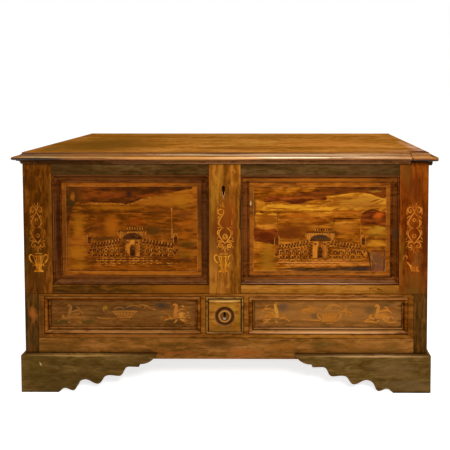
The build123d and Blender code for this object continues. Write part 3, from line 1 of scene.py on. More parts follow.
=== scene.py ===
# %% [markdown]
# # A walnut cassone
# A cassone is a long Italian chest. This one has a framed front with two sunk panels of walnut
# veneer, a hinged lid with a moulded edge, and one long drawer over sawn bracket feet. The packed
# model already holds every board, moulding and hinge at its real size, so this script gives those
# pieces their finish and adds what lies on them like a skin: veneer, inlay, dirt and wear, and in
# some places painted highlights, a painted reflection and painted shade.

import json
import math
import random

import bmesh
import bpy
from mathutils import Matrix, Vector


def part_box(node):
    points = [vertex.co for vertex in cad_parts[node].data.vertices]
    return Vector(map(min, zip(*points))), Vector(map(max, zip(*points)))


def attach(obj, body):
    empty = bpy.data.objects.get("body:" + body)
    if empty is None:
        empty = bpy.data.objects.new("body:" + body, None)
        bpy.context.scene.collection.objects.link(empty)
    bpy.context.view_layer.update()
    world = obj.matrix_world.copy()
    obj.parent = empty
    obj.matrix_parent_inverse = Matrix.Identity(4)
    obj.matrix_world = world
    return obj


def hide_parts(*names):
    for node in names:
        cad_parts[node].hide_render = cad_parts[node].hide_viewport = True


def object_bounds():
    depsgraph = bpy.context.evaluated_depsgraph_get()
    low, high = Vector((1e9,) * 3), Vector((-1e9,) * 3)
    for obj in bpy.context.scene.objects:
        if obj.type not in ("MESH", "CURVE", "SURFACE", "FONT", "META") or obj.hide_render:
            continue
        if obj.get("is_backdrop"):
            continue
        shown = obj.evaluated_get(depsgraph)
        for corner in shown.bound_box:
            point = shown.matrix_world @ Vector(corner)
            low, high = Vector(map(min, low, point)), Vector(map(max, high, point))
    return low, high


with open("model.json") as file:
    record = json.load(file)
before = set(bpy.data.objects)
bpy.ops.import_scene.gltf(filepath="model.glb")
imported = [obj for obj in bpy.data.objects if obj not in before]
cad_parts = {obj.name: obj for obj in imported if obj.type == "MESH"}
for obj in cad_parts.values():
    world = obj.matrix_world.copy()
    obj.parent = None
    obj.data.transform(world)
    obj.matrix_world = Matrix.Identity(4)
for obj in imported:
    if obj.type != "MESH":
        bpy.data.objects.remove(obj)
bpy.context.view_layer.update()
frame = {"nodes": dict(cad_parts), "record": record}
MM = 0.001
print("frame of", len(frame["nodes"]), "nodes")

# %% [markdown]
# ## Camera
# The chest is seen square from the front, a little above the lid and right of the middle. Its
# uprights stay upright because the lens is shifted, as on a view camera, and hardly tilted.

# %% Camera
BODY_FRONT = -268.75  # Y of the front frame's face, mm
CAMERA_PLACE = Vector((192.6, BODY_FRONT - 1452.7, 1111.6)) * MM
CAMERA_TILT = 0.0298  # radians below level
CAMERA_TURN = 0.0035  # radians to the left
SENSOR = 36.0  # mm
IMAGE = 450.0  # pixels across the square picture
FOCAL_PIXELS = 410.2
AXIS_PIXEL = (277.9, 95.6)  # where the lens axis meets the 450 x 450 image

camera = bpy.data.objects.new("camera", bpy.data.cameras.new("camera"))
bpy.context.scene.collection.objects.link(camera)
camera.location = CAMERA_PLACE
camera.rotation_euler = (math.pi / 2 - CAMERA_TILT, 0, CAMERA_TURN)
camera.data.sensor_width = SENSOR
camera.data.lens = FOCAL_PIXELS / IMAGE * SENSOR
camera.data.shift_x = -(AXIS_PIXEL[0] - IMAGE / 2) / IMAGE
camera.data.shift_y = (AXIS_PIXEL[1] - IMAGE / 2) / IMAGE
bpy.context.scene.camera = camera
bpy.context.scene.view_settings.view_transform = "Standard"
print("camera at", [round(c, 3) for c in camera.location])

# %% [markdown]
# ## Nodes and colours
# A material is a graph of nodes. One function adds a node, sets its values and links its inputs, so
# every material below reads as a list of steps. Colours are picked as sRGB hex values, but a shader
# works on linear light, so a second function converts them.

# %% Two helpers for materials
def linear(hex_colour):
    """Turn an sRGB hex value such as '#8a5018' into a linear RGBA colour."""
    channels = [int(hex_colour[i:i + 2], 16) / 255 for i in (1, 3, 5)]
    return [c / 12.92 if c <= 0.04045 else ((c + 0.055) / 1.055) ** 2.4 for c in channels] + [1.0]


def node(tree, kind, inputs=(), **settings):
    """Add a node. inputs pairs a socket's name or number with a value or another node's output."""
    made = tree.nodes.new("ShaderNode" + kind)
    for name, value in settings.items():
        setattr(made, name, value)
    for name, value in dict(inputs).items():
        if isinstance(value, bpy.types.NodeSocket):
            tree.links.new(value, made.inputs[name])
        else:
            made.inputs[name].default_value = value
    return made


def new_material(name):
    """An empty material, its node tree and its output node."""
    material = bpy.data.materials.new(name)
    material.use_nodes = True
    material.node_tree.nodes.clear()
    return material, material.node_tree, node(material.node_tree, "OutputMaterial")


# %% [markdown]
# ## Studio
# The light is plain and soft: a wide lamp high on the right, a weaker one on the left and a pale
# world all round. The floor and the world are white to the camera, to mirrors and to glass, while
# the floor still takes the chest's shadow.

# %% World
WORLD_LIGHT = 0.36  # brightness of the world where it lights the chest
world = bpy.data.worlds.new("studio")
bpy.context.scene.world = world
world.use_nodes = True
sky = world.node_tree
sky.nodes.clear()


def seen_directly(tree):
    """1 for rays from the camera, from a mirror or through glass, else 0."""
    path = node(tree, "LightPath")
    seen = node(tree, "Math", {0: path.outputs["Is Camera Ray"], 1: path.outputs["Is Glossy Ray"]},
                operation="MAXIMUM")
    return node(tree, "Math", {0: seen.outputs[0], 1: path.outputs["Is Transmission Ray"]},
                operation="MAXIMUM").outputs[0]


strength = node(sky, "MapRange", {0: seen_directly(sky), 3: WORLD_LIGHT, 4: 1.0})
background = node(sky, "Background", {"Color": (1, 1, 1, 1), "Strength": strength.outputs[0]})
node(sky, "OutputWorld", {"Surface": background.outputs[0]})

# %% Floor
FLOOR_SIZE = 60.0  # metres, so that no edge shows
FLOOR_LIFT = 0.74  # brightness added for what is seen directly, so that the lit floor is white

floor_mesh = bmesh.new()
bmesh.ops.create_grid(floor_mesh, x_segments=1, y_segments=1, size=FLOOR_SIZE / 2)
floor = bpy.data.objects.new("floor", bpy.data.meshes.new("floor"))
floor_mesh.to_mesh(floor.data)
floor_mesh.free()
bpy.context.scene.collection.objects.link(floor)
floor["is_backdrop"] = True

floor_paint, tree, out = new_material("white_studio_floor")
matt = node(tree, "BsdfDiffuse", {"Color": linear("#e6e6e6")})
lift = node(tree, "Math", {0: seen_directly(tree), 1: FLOOR_LIFT}, operation="MULTIPLY")
glow = node(tree, "Emission", {"Color": (1, 1, 1, 1), "Strength": lift.outputs[0]})
both = node(tree, "AddShader", {0: matt.outputs[0], 1: glow.outputs[0]})
tree.links.new(both.outputs[0], out.inputs["Surface"])
floor.data.materials.append(floor_paint)

# %% Lamps
def soft_lamp(name, place, aim, size, power):
    """A square lamp that looks from one point at another, in metres and watts."""
    lamp = bpy.data.objects.new(name, bpy.data.lights.new(name, "AREA"))
    lamp.data.size = size
    lamp.data.energy = power
    lamp.location = place
    lamp.rotation_euler = (Vector(aim) - Vector(place)).to_track_quat("-Z", "Y").to_euler()
    bpy.context.scene.collection.objects.link(lamp)


soft_lamp("lamp_right", (0.85, -2.3, 2.55), (0.12, -0.1, 0.5), 0.8, 66.0)
soft_lamp("lamp_left", (-2.0, -2.2, 2.1), (-0.2, 0, 0.5), 1.4, 16.0)
soft_lamp("lamp_back", (-0.6, 2.6, 2.4), (0, 0, 0.5), 1.4, 18.0)
print("floor and lamps set")

# %% [markdown]
# ## Walnut
# Old walnut, sawn, planed and waxed, has dark streaks that run along the board, fine fibres and
# slow changes of tone; here its corners also darken with dust and painted shade. A picture of a
# board would show the same streaks on every piece, so each of these is one noise on the piece's own
# coordinates instead, drawn out along the grain, and their sum picks the colour from three tones.
# The wax has worn off, so it hardly shines: only what hands rub keeps a gloss. Stains are soft
# patches at measured places, in millimetres; some of them are painted highlights, a painted
# reflection and painted shade. Faces that look up or down can take colours of their own, which are
# mostly painted light from above and painted shade below.

# %% Patterns of the wood, and how they are mixed
GRAIN_TURNS = {"X": (0, 0, 0), "Y": (0, 0, math.pi / 2), "Z": (0, math.pi / 2, 0)}


def pattern(tree, grain, seed, along, across, detail, curl=0.0, roughness=0.55):
    """Noise around 0.5 with so many patterns in a metre along the grain and across it."""
    place = node(tree, "TexCoord")
    turned = node(tree, "Mapping", {"Vector": place.outputs["Object"],
                                    "Rotation": GRAIN_TURNS[grain]}, vector_type="TEXTURE")
    drawn = node(tree, "Mapping", {"Vector": turned.outputs[0], "Location": (seed, 2 * seed, -seed),
                                   "Scale": (along, across, across)})
    return node(tree, "TexNoise", {"Vector": drawn.outputs[0], "Scale": 1.0, "Detail": detail,
                                   "Distortion": curl, "Roughness": roughness}).outputs["Fac"]


def weigh(tree, parts):
    """Add up values that wander around 0.5, each with its own weight, to one that does so too."""
    total = 0.5
    for value, weight in parts:
        part = node(tree, "Math", {0: value, 1: weight, 2: -0.5 * weight}, operation="MULTIPLY_ADD")
        total = node(tree, "Math", {0: part.outputs[0], 1: total}, operation="ADD").outputs[0]
    return total


def covered(tree, colour, tone, value, ends, amounts):
    """Lay a tone over a colour.

    As the value goes from one of the ends to the other, so does the amount of the tone.
    """
    amount = node(tree, "MapRange", {0: value, 1: ends[0], 2: ends[1], 3: amounts[0],
                                     4: amounts[1]})
    return node(tree, "Mix", {0: amount.outputs[0], 6: colour, 7: linear(tone)},
                data_type="RGBA").outputs[2]


# %% Stains
UPRIGHT = (1, 0, 1)  # a stain on the front is placed by X and Z
LYING = (1, 1, 0)  # a stain on the lid's top is placed by X and Y
STRAY = 22.0  # mm that a stain's edge wanders
SOFT = 0.8  # share of a stain's half width over which it fades out
RAGGED = 1.1  # how much the wood's own streaks break up that edge


def stained(tree, colour, stains, plane, texture, stray, soft):
    """Add patches: each is (x, z or y, half width, half height, colour, amount) in mm."""
    place = node(tree, "TexCoord").outputs["Object"]
    push = node(tree, "TexNoise", {"Vector": place, "Scale": 24.0, "Detail": 5.0})
    moved = node(tree, "VectorMath", {0: push.outputs["Color"], 1: (stray * MM,) * 3,
                                      2: (-stray * MM / 2,) * 3}, operation="MULTIPLY_ADD")
    moved = node(tree, "VectorMath", {0: moved.outputs[0], 1: place}, operation="ADD").outputs[0]
    edge = 1.0 + soft / 5
    for x, other, wide, high, tone, amount in stains:
        middle = (x * MM, other * MM * plane[1], other * MM * plane[2])
        sizes = (1 / (wide * MM), plane[1] / (high * MM), plane[2] / (high * MM))
        local = node(tree, "VectorMath", {0: moved, 1: middle}, operation="SUBTRACT")
        local = node(tree, "VectorMath", {0: local.outputs[0], 1: sizes}, operation="MULTIPLY")
        reach = node(tree, "VectorMath", {0: local.outputs[0]}, operation="LENGTH").outputs["Value"]
        reach = weigh(tree, ((reach, 1.0), (texture, -RAGGED * soft)))
        colour = covered(tree, colour, tone, reach, (edge - soft, edge), (amount, 0.0))
    return colour


# %% Wood
# Dust and painted shade: the colour that corners and recesses darken to
DUST_AND_SHADE_TONE = "#120903"
DUST_AND_SHADE_FADE = (0.25, 0.9)  # how open a place is, from a corner full of dust and painted shade to a clean face
LOOKING_UP = (0.15, 0.85)  # how much a face looks up, from none to all of the upper colour, which is mostly painted light from above
SHADED = (-0.85, -0.2)  # the same number for the under colour, from a face that looks down, where it is painted shade, and on the lid's underside unwaxed wood, to a face that looks level
TONE_PLACES = (0.25, 0.5, 0.75)  # where the three tones lie between 0 and 1
PORE_DEPTH = 0.25  # mm
SHINE_CHANGE = 0.08  # how far the roughness wanders


def wood(name, grain, tones, seed, figure=1.0, streaks=16.0, curl=0.5, stains=(), plane=UPRIGHT,
         stray=STRAY, soft=SOFT, gloss=0.02, roughness=0.5, upper=None, under=None, dust_and_shade=0.8,
         dust_and_shade_reach=9.0, mottling=1.3):
    """Waxed wood. tones are its dark, middle and light colours; streaks counts them in a metre.

    The other patterns are 4 mm wide for the fibres, because real pores are too fine to show,
    11 by 38 mm for the mottling and some 200 mm for the cloudy change of tone.
    """
    material, tree, out = new_material(name)
    bands = pattern(tree, grain, seed, 1.5, streaks, 6.0, curl, 0.62)
    fibre = pattern(tree, grain, seed + 3, 12.0, 260.0, 3.0)
    cloud = pattern(tree, grain, seed + 7, 3.0, 6.0, 5.0, 1.2, 0.6)
    mottle = pattern(tree, grain, seed + 11, 26.0, 90.0, 4.0, 0.6)
    amount = weigh(tree, ((bands, 1.4 * figure), (fibre, 0.5 * figure), (cloud, 0.7 * figure),
                          (mottle, mottling * figure)))
    ramp = node(tree, "ValToRGB", {"Fac": amount})
    ramp.color_ramp.elements.new(TONE_PLACES[1])
    for stop, position, tone in zip(ramp.color_ramp.elements, TONE_PLACES, tones):
        stop.position = position
        stop.color = linear(tone)
    colour = ramp.outputs[0]
    if stains:
        texture = weigh(tree, ((bands, 1.0), (mottle, 0.9)))
        colour = stained(tree, colour, stains, plane, texture, stray, soft)
    if upper or under:
        normal = node(tree, "TexCoord").outputs["Normal"]
        facing = node(tree, "SeparateXYZ", {0: normal}).outputs["Z"]
    # Faces that look up take the upper colour in mottled patches: mostly painted light from above.
    if upper:
        patchy = node(tree, "MapRange", {0: mottle, 1: 0.35, 2: 0.6, 3: 0.3, 4: 0.9}).outputs[0]
        colour = covered(tree, colour, upper, facing, LOOKING_UP, (0.0, patchy))
    # Faces that look down take the under colour: painted shade, and on the lid's underside the
    # colour of unwaxed wood.
    if under:
        colour = covered(tree, colour, under, facing, SHADED, (0.6, 0.0))
    # Corners and recesses, found by ambient occlusion, darken: dust, and painted shade where less
    # light falls
    corners = node(tree, "AmbientOcclusion", {"Distance": dust_and_shade_reach * MM}, samples=6)
    colour = covered(tree, colour, DUST_AND_SHADE_TONE, corners.outputs["AO"], DUST_AND_SHADE_FADE, (dust_and_shade, 0.0))
    relief = weigh(tree, ((fibre, 1.0), (mottle, 0.6)))
    bump = node(tree, "Bump", {"Strength": 0.4, "Distance": PORE_DEPTH * MM, "Height": relief})
    shine = node(tree, "MapRange", {0: cloud, 1: 0.3, 2: 0.7, 3: roughness - SHINE_CHANGE,
                                    4: roughness + SHINE_CHANGE})
    shader = node(tree, "BsdfPrincipled", {"Base Color": colour, "Roughness": shine.outputs[0],
                                           "Specular IOR Level": gloss,
                                           "Normal": bump.outputs[0]})
    tree.links.new(shader.outputs[0], out.inputs["Surface"])
    return material


# %% [markdown]
# ## Dressing a CAD piece
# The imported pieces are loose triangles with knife-sharp edges. A piece whose look matters is
# copied, its triangles are welded and the edges that hands and brooms touch are rounded. A Bevel
# modifier would round the tight joints as well, so the bevel runs on chosen edges only. The copy
# then stands for the CAD node.

# %% Welded and worn copies
BODY_OF = {name: body for body, names in frame["record"]["behaviour"]["bodies"].items()
           for name in names}
SLOT_OF = {s["node"]: s["material_slot"] for s in frame["record"]["subparts"]}
SMOOTH = math.radians(24)  # an edge that turns less is shaded round
FLAT = math.radians(0.5)  # triangles that turn less are one face
CAD_WELD = 0.002  # mm between corners that are the same
IN_PLANE = 0.05  # mm from the plane of the front
FACES_UP = 0.95  # the Z of a normal that points straight up, or nearly


def finish_piece(shape, name, body, material):
    """Write a bmesh into a new object, smooth it, and let it ride on its body."""
    for face in shape.faces:
        face.smooth = True
    for edge in shape.edges:
        edge.smooth = edge.is_manifold and edge.calc_face_angle() < SMOOTH
    mesh = bpy.data.meshes.new(name)
    shape.to_mesh(mesh)
    shape.free()
    if "custom_normal" in mesh.attributes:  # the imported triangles' own normals no longer fit
        mesh.attributes.remove(mesh.attributes["custom_normal"])
    mesh.materials.append(material)
    piece = bpy.data.objects.new(name, mesh)
    bpy.context.scene.collection.objects.link(piece)
    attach(piece, body)
    return piece


def in_front(edge):
    """True for an edge that lies in the plane of the front frame."""
    return all(abs(v.co.y - BODY_FRONT * MM) < IN_PLANE * MM for v in edge.verts)


def anywhere(edge):
    """True for every edge."""
    return True


def dress(name, material, rounding=0.0, touched=anywhere, top=None):
    """Replace a CAD node by a welded copy with its touched edges rounded by so many mm.

    Where top is given, the faces that look straight up get that material instead.
    """
    shape = bmesh.new()
    shape.from_mesh(frame["nodes"][name].data)
    bmesh.ops.remove_doubles(shape, verts=shape.verts, dist=CAD_WELD * MM)
    if rounding:
        bmesh.ops.dissolve_limit(shape, verts=shape.verts, edges=shape.edges, angle_limit=FLAT)
        edges = [e for e in shape.edges
                 if e.is_manifold and e.calc_face_angle() > SMOOTH and touched(e)]
        bmesh.ops.bevel(shape, geom=edges, offset=rounding * MM, offset_type="OFFSET",
                        segments=2, profile=0.5, affect="EDGES", material=-1,
                        clamp_overlap=True)
    piece = finish_piece(shape, name + "_worn", BODY_OF[name], material)
    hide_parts(name)
    if top:
        piece.data.materials.append(top)
        for face in piece.data.polygons:
            face.material_index = int(face.normal.z > FACES_UP)


# %% [markdown]
# ## Walnut for each part of the frame
# The maker used what boards there were, so each has its own tone: dark olive rails at the top,
# reddish stiles, a golden middle one. One function makes them all from other colours and numbers.
# Under a closer look old boards are never even, so each has its stains where polish, smoke and
# hands left them.

# %% Woods of the stiles, posts and rails
STILE_LEFT = wood(
    "walnut_stile_left", "Z", ("#482200", "#663504", "#854b12"), 1.3, streaks=34,
    stains=((-708, 520, 8, 120, "#453104", 0.75), (-630, 640, 8, 170, "#70420e", 0.5),
            (-690, 600, 6, 90, "#84420c", 0.45), (-668, 470, 30, 60, "#5c3a08", 0.45),
            (-680, 400, 40, 40, "#5a3206", 0.5), (-660, 815, 50, 14, "#6c3a0a", 0.5)))
STILE_CENTER = wood(
    "walnut_stile_center", "Z", ("#683807", "#8a4e10", "#a9691f"), 5.1, streaks=38,
    stains=((-2, 585, 70, 110, "#642e06", 0.93), (-44, 690, 5, 90, "#87600c", 0.65),
            (-27, 745, 6, 60, "#a87816", 0.6), (26, 640, 6, 90, "#95450c", 0.7),
            (47, 560, 7, 200, "#9a5c0f", 0.7), (-20, 800, 14, 60, "#a86c1c", 0.6),
            (-2, 640, 30, 60, "#803c08", 0.7), (51.5, 640, 5.5, 110, "#3c220a", 0.95),
            (-56.5, 640, 6, 130, "#70400c", 0.85),
            (-5, 470, 50, 26, "#744610", 0.4), (-45, 540, 12, 30, "#7a5018", 0.5)))
STILE_RIGHT = wood(
    "walnut_stile_right", "Z", ("#582200", "#763404", "#954b12"), 8.4, streaks=30,
    stains=((634, 500, 10, 90, "#684409", 0.7), (710, 600, 7, 40, "#452605", 0.7),
            (716, 740, 7, 90, "#8c4108", 0.6), (672, 735, 44, 60, "#622a05", 0.75),
            (690, 470, 18, 40, "#74481a", 0.5), (664, 600, 16, 80, "#7a3408", 0.6),
            (672, 405, 60, 44, "#78450f", 0.7), (640, 800, 14, 40, "#6a3a08", 0.5),
            (672, 368, 60, 18, "#6a4310", 0.85), (645, 795, 22, 60, "#683a0c", 0.8),
            (700, 812, 24, 20, "#884208", 0.5)))
RAIL_TOP = wood("walnut_rail_top", "X", ("#382309", "#4d3312", "#634523"), 2.2, figure=0.8,
                stains=((-560, 812, 120, 24, "#4a3010", 0.4), (520, 810, 90, 22, "#573a20", 0.4)))
RAIL_MID_LEFT = wood(
    "walnut_rail_mid_left", "X", ("#3e2403", "#542f06", "#70420e"), 3.6, streaks=60,
    stains=((-150, 371, 150, 30, "#8a4d0b", 0.8), (-330, 378, 90, 12, "#6a3c0a", 0.5)))
RAIL_MID_RIGHT = wood("walnut_rail_mid_right", "X", ("#7d4a0e", "#975c17", "#ac6f28"), 4.9,
                      streaks=60, stains=((586, 372, 30, 24, "#7c4a10", 0.7),))
RAIL_BOTTOM = wood(
    "walnut_rail_bottom", "X", ("#5a380f", "#7d4c18", "#9c642b"), 6.3, streaks=26, figure=0.8,
    stains=((-600, 150, 90, 34, "#573709", 0.6), (-20, 172, 70, 18, "#48290c", 0.7),
            (-180, 138, 110, 10, "#95501a", 0.7), (70, 140, 70, 11, "#9a521a", 0.7),
            (190, 160, 60, 18, "#91561a", 0.6), (350, 168, 60, 18, "#5c4418", 0.6),
            (600, 150, 40, 40, "#6e4a18", 0.5), (480, 148, 90, 30, "#8c5820", 0.6),
            (-380, 165, 60, 10, "#85521c", 0.5)))
POST = wood("walnut_post", "Z", ("#352003", "#4e2f0a", "#683f16"), 7.7, streaks=40,
            stains=((-690, 180, 30, 40, "#46300a", 0.5), (-694, 325, 12, 12, "#5c3a12", 0.5),
                    (-697, 283, 12, 30, "#98541c", 0.9)))
print("frame woods made")

# %% [markdown]
# ## Walnut for the panels and mouldings
# The panels are faced with figured veneer, cut from roots and crotches, so its streaks curl and
# flare. The mouldings are dark, with dust and painted shade in their quirks, painted shade on faces
# that look down, painted light, mottled like rubbed dust, on faces that look up, and painted
# highlights along their beads. The block round the drawer's key hole is lighter, with a painted
# highlight on its top bevel, and its rosette was turned on a lathe, so dark and light rings follow
# the gouge; its dark outer ring lies in a hollow and is partly painted shade, the black round its
# key hole is painted shade, and the pale grey spot below that is a painted glint.

# %% Woods of the panels and mouldings
PANEL_LEFT = wood(
    "walnut_panel_left", "X", ("#542701", "#7c3d06", "#9a5410"), 9.2, streaks=15, curl=1.3,
    stains=((-532, 600, 26, 60, "#9e5c0c", 0.7), (-540, 500, 40, 30, "#a25e0d", 0.75),
            (-530, 455, 34, 26, "#a2600c", 0.5), (-440, 590, 60, 40, "#6c3206", 0.6),
            (-412, 600, 34, 50, "#a0540a", 0.8), (-400, 664, 130, 12, "#a15a0c", 0.7),
            (-230, 690, 110, 26, "#995610", 0.7), (-160, 690, 40, 44, "#a1600f", 0.6),
            (-325, 612, 34, 20, "#853604", 0.6), (-262, 580, 44, 22, "#472a07", 0.85),
            (-440, 677, 90, 5, "#ab6414", 0.7), (-330, 690, 60, 6, "#a86014", 0.5),
            (-190, 560, 30, 50, "#532d08", 0.5), (-230, 655, 120, 20, "#7a3e0a", 0.4),
            (-440, 551, 60, 9, "#452507", 0.8), (-150, 636, 40, 18, "#67310c", 0.7),
            (-145, 608, 36, 10, "#964a0a", 0.7), (-150, 560, 34, 12, "#9b4f0a", 0.7),
            (-140, 530, 40, 16, "#4c2e07", 0.8), (-150, 490, 40, 24, "#704408", 0.6),
            (-150, 472, 34, 8, "#522410", 0.7), (-210, 463, 22, 7, "#3a260c", 0.8),
            (-330, 440, 200, 10, "#8a4508", 0.5), (-570, 560, 12, 110, "#73400a", 0.6)))
PANEL_RIGHT = wood(
    "walnut_panel_right", "X", ("#6a3202", "#955009", "#b86e18"), 12.6, streaks=18, curl=1.4,
    figure=1.2,
    stains=((150, 622, 40, 24, "#bd7c16", 0.9), (250, 668, 140, 14, "#bb7813", 0.85),
            (230, 700, 110, 9, "#783207", 0.8), (450, 690, 120, 30, "#a06c18", 0.75),
            (142, 600, 46, 9, "#c2741e", 0.9), (262, 632, 60, 18, "#a04c0a", 0.6),
            (150, 480, 34, 60, "#8f5a0f", 0.8), (260, 590, 70, 28, "#6d3206", 0.8),
            (262, 560, 70, 12, "#602a06", 0.7), (430, 594, 60, 24, "#ac6414", 0.8),
            (395, 572, 14, 14, "#50280e", 0.85), (220, 570, 60, 24, "#5e2606", 0.85),
            (330, 604, 40, 5, "#6a2c06", 0.7), (420, 608, 50, 5, "#c07c20", 0.7),
            (450, 582, 44, 4, "#8a3e08", 0.7), (550, 446, 26, 14, "#7a3c34", 0.7),
            (428, 624, 54, 4, "#602a06", 0.8), (545, 582, 44, 22, "#a86e18", 0.8),
            (560, 592, 30, 7, "#b4801c", 0.7), (545, 566, 40, 5, "#7a5010", 0.7),
            (545, 470, 34, 46, "#683e22", 0.9), (104, 620, 7, 90, "#74360a", 0.7),
            (545, 535, 36, 14, "#b97618", 0.9), (540, 562, 34, 5, "#6a4410", 0.8),
            (330, 622, 60, 10, "#8a400a", 0.6), (340, 462, 170, 12, "#cc7a2c", 0.85),
            (320, 434, 200, 8, "#b06a26", 0.6),
            (420, 640, 60, 8, "#a5520c", 0.6), (140, 735, 50, 10, "#6e340c", 0.6),
            (105, 660, 8, 50, "#5a3008", 0.7), (340, 425, 240, 10, "#7e4112", 0.5)))
# The pale line along the right panel's bottom bead (Z 392.8) is a painted highlight; upper is
# painted light from above and under is painted shade.
PANEL_MOULDING = wood(
    "walnut_moulding_dark", "X", ("#371803", "#56290b", "#6f3c16"), 10.4, streaks=70, gloss=0.0,
    upper="#7c4e2a", under="#4c260c", stray=3.0,
    stains=((320, 765, 300, 10, "#ac5e16", 0.9), (320, 781, 300, 6, "#7e4c28", 0.85),
            (320, 410, 300, 6, "#a0561f", 0.9), (320, 399, 300, 6, "#6e4828", 0.9),
            (320, 392.8, 300, 2.2, "#dca47c", 0.95), (-350, 412, 290, 5, "#7e4410", 0.8),
            (-350, 781, 290, 4, "#743e14", 0.85), (-616, 580, 5, 190, "#70401e", 0.85),
            (-350, 772, 290, 16, "#70401a", 0.7), (54, 580, 12, 190, "#7c481c", 0.8),
            (-350, 400, 290, 8, "#573010", 0.8), (-604, 580, 10, 190, "#341606", 0.85),
            (72, 580, 14, 190, "#6f3a14", 0.7), (610, 580, 14, 190, "#5e2c0a", 0.7),
            (610, 572, 10, 26, "#3c2c1a", 0.85),
            (-75, 590, 20, 190, "#4c2a12", 0.7)))
DRAWER_BORDER = wood("walnut_drawer_border", "X", ("#583206", "#75400c", "#93591b"), 11.8,
                     streaks=60, stains=((-668, 275, 14, 90, "#4c2d0a", 0.8),
                                         (630, 275, 40, 90, "#7a4410", 0.4),
                                         (-300, 200, 300, 9, "#8c5420", 0.8),
                                         (340, 200, 330, 9, "#a2661f", 0.85),
                                         (360, 348.5, 330, 5, "#a4642a", 0.9),
                                         (-380, 351, 300, 6, "#683608", 0.7),
                                         (-75, 290, 14, 60, "#93560f", 0.6)))
# The pale bands along the beads (Z 214, 226, 327 and 336) are painted highlights; upper is painted
# light from above and under is painted shade.
DRAWER_MOULDING = wood(
    "walnut_moulding_light", "X", ("#542802", "#743c0c", "#945620"), 12.9, streaks=70, gloss=0.0,
    upper="#a06c34", under="#3c1c04", stray=3.0,
    stains=((-370, 214, 280, 6, "#a8713a", 0.8), (360, 214.5, 290, 7, "#dca068", 0.95),
            (370, 327, 290, 4.5, "#b06a20", 0.9), (370, 336, 290, 3.4, "#dc9048", 0.95),
            (-370, 335, 280, 5, "#6e3408", 0.85), (-370, 341.5, 290, 2.6, "#5c2c06", 0.9),
            (370, 342.5, 290, 2.2, "#8a4408", 0.9), (360, 226, 280, 4.5, "#c08c58", 0.9),
            (-647, 270, 4, 60, "#96561e", 0.8), (100, 270, 8, 70, "#8c5a24", 0.6)))
DRAWER_FIELD = wood(
    "walnut_drawer_field", "X", ("#553209", "#764419", "#945f28"), 13.7, streaks=40,
    stains=((-370, 280, 330, 70, "#643d13", 0.6), (360, 280, 330, 70, "#966028", 0.8),
            (-555, 296, 30, 16, "#40301a", 0.8), (-600, 246, 50, 10, "#44360c", 0.8),
            (-505, 246, 40, 9, "#463a0c", 0.7), (-370, 296, 56, 9, "#44301c", 0.85),
            (-450, 285, 18, 16, "#583418", 0.6), (-235, 305, 30, 15, "#3c3020", 0.9),
            (-190, 246, 40, 8, "#4e3618", 0.7), (-115, 290, 16, 40, "#573110", 0.5),
            (-435, 300, 9, 9, "#9a6e12", 0.9), (205, 300, 22, 20, "#5a4030", 0.7),
            (298, 292, 12, 8, "#a85c18", 0.9), (322, 268, 18, 12, "#5e4024", 0.7),
            (520, 292, 26, 18, "#574020", 0.7), (580, 312, 30, 8, "#55401c", 0.7),
            (365, 240, 26, 6, "#54381a", 0.7), (600, 290, 20, 20, "#8c4c1c", 0.5)))
# The bright line along the top bevel (Z 327.5) is a painted highlight, upper is painted light on
# the bevel that looks up, and under is painted shade.
BLOCK = wood("walnut_block", "X", ("#74440a", "#905510", "#ab7226"), 15.1, streaks=50, gloss=0.03,
             upper="#c49244", under="#4c2e08", dust_and_shade_reach=5.0, stray=2.0,
             stains=((-5, 226, 60, 16, "#7a4c16", 0.8), (-5, 312, 54, 14, "#a0661a", 0.5),
                     (24, 300, 16, 16, "#a87c1c", 0.6), (44, 262, 9, 30, "#8c6414", 0.6),
                     (-4, 327.5, 56, 2.4, "#ecb868", 0.9)))
# upper is painted light from above and under is painted shade.
BLOCK_MOULDING = wood(
    "walnut_moulding_olive", "X", ("#5a340c", "#855420", "#a87638"), 15.6, streaks=70, gloss=0.0,
    upper="#a6763c", under="#4a2c0c", stray=2.0,
    stains=((-66, 273, 3, 60, "#94703c", 0.7), (58, 273, 3, 60, "#94703c", 0.7),
            (-4, 333, 60, 3, "#b08440", 0.6)))
# The dark ring out to 35.5 mm lies in the rosette's lower outer part and is partly painted shade;
# the near-black round the key hole (Z 279) is painted shade, and the pale grey spot below it (Z
# 264) is a painted glint.
ROSETTE = wood(
    "walnut_rosette_turned", "X", ("#7a4c18", "#98622a", "#b27c3e"), 16.2, streaks=60, figure=0.8,
    dust_and_shade_reach=5.0, stray=0.0, soft=0.1,
    stains=((-4, 273, 35.5, 35.5, "#43200a", 0.95), (-4, 273, 23.5, 23.5, "#b67c38", 0.9),
            (-4, 273, 17.5, 17.5, "#5a320e", 0.85), (-5, 279, 5.5, 9, "#0c0603", 0.95),
            (-5, 264, 5, 4, "#a8a094", 0.9)))
print("panel and moulding woods made")

# %% [markdown]
# ## Walnut for the feet, sides and lid
# The feet are almost black-brown and dull, with a painted highlight along the top edge. The lid's
# top is a matt honey brown, worn by everything ever put on it, with a painted reflection at its
# right end, while its rounded nose carries a painted highlight in the middle, partly wear where
# people lean to open it, and painted shade on its lower half. One corner of the nose was replaced,
# so its wood is redder, with painted shadow under it, and the end of the cove below it is painted
# nearly black as shade. The poplar inside was never waxed, so it is pale, even and rough.

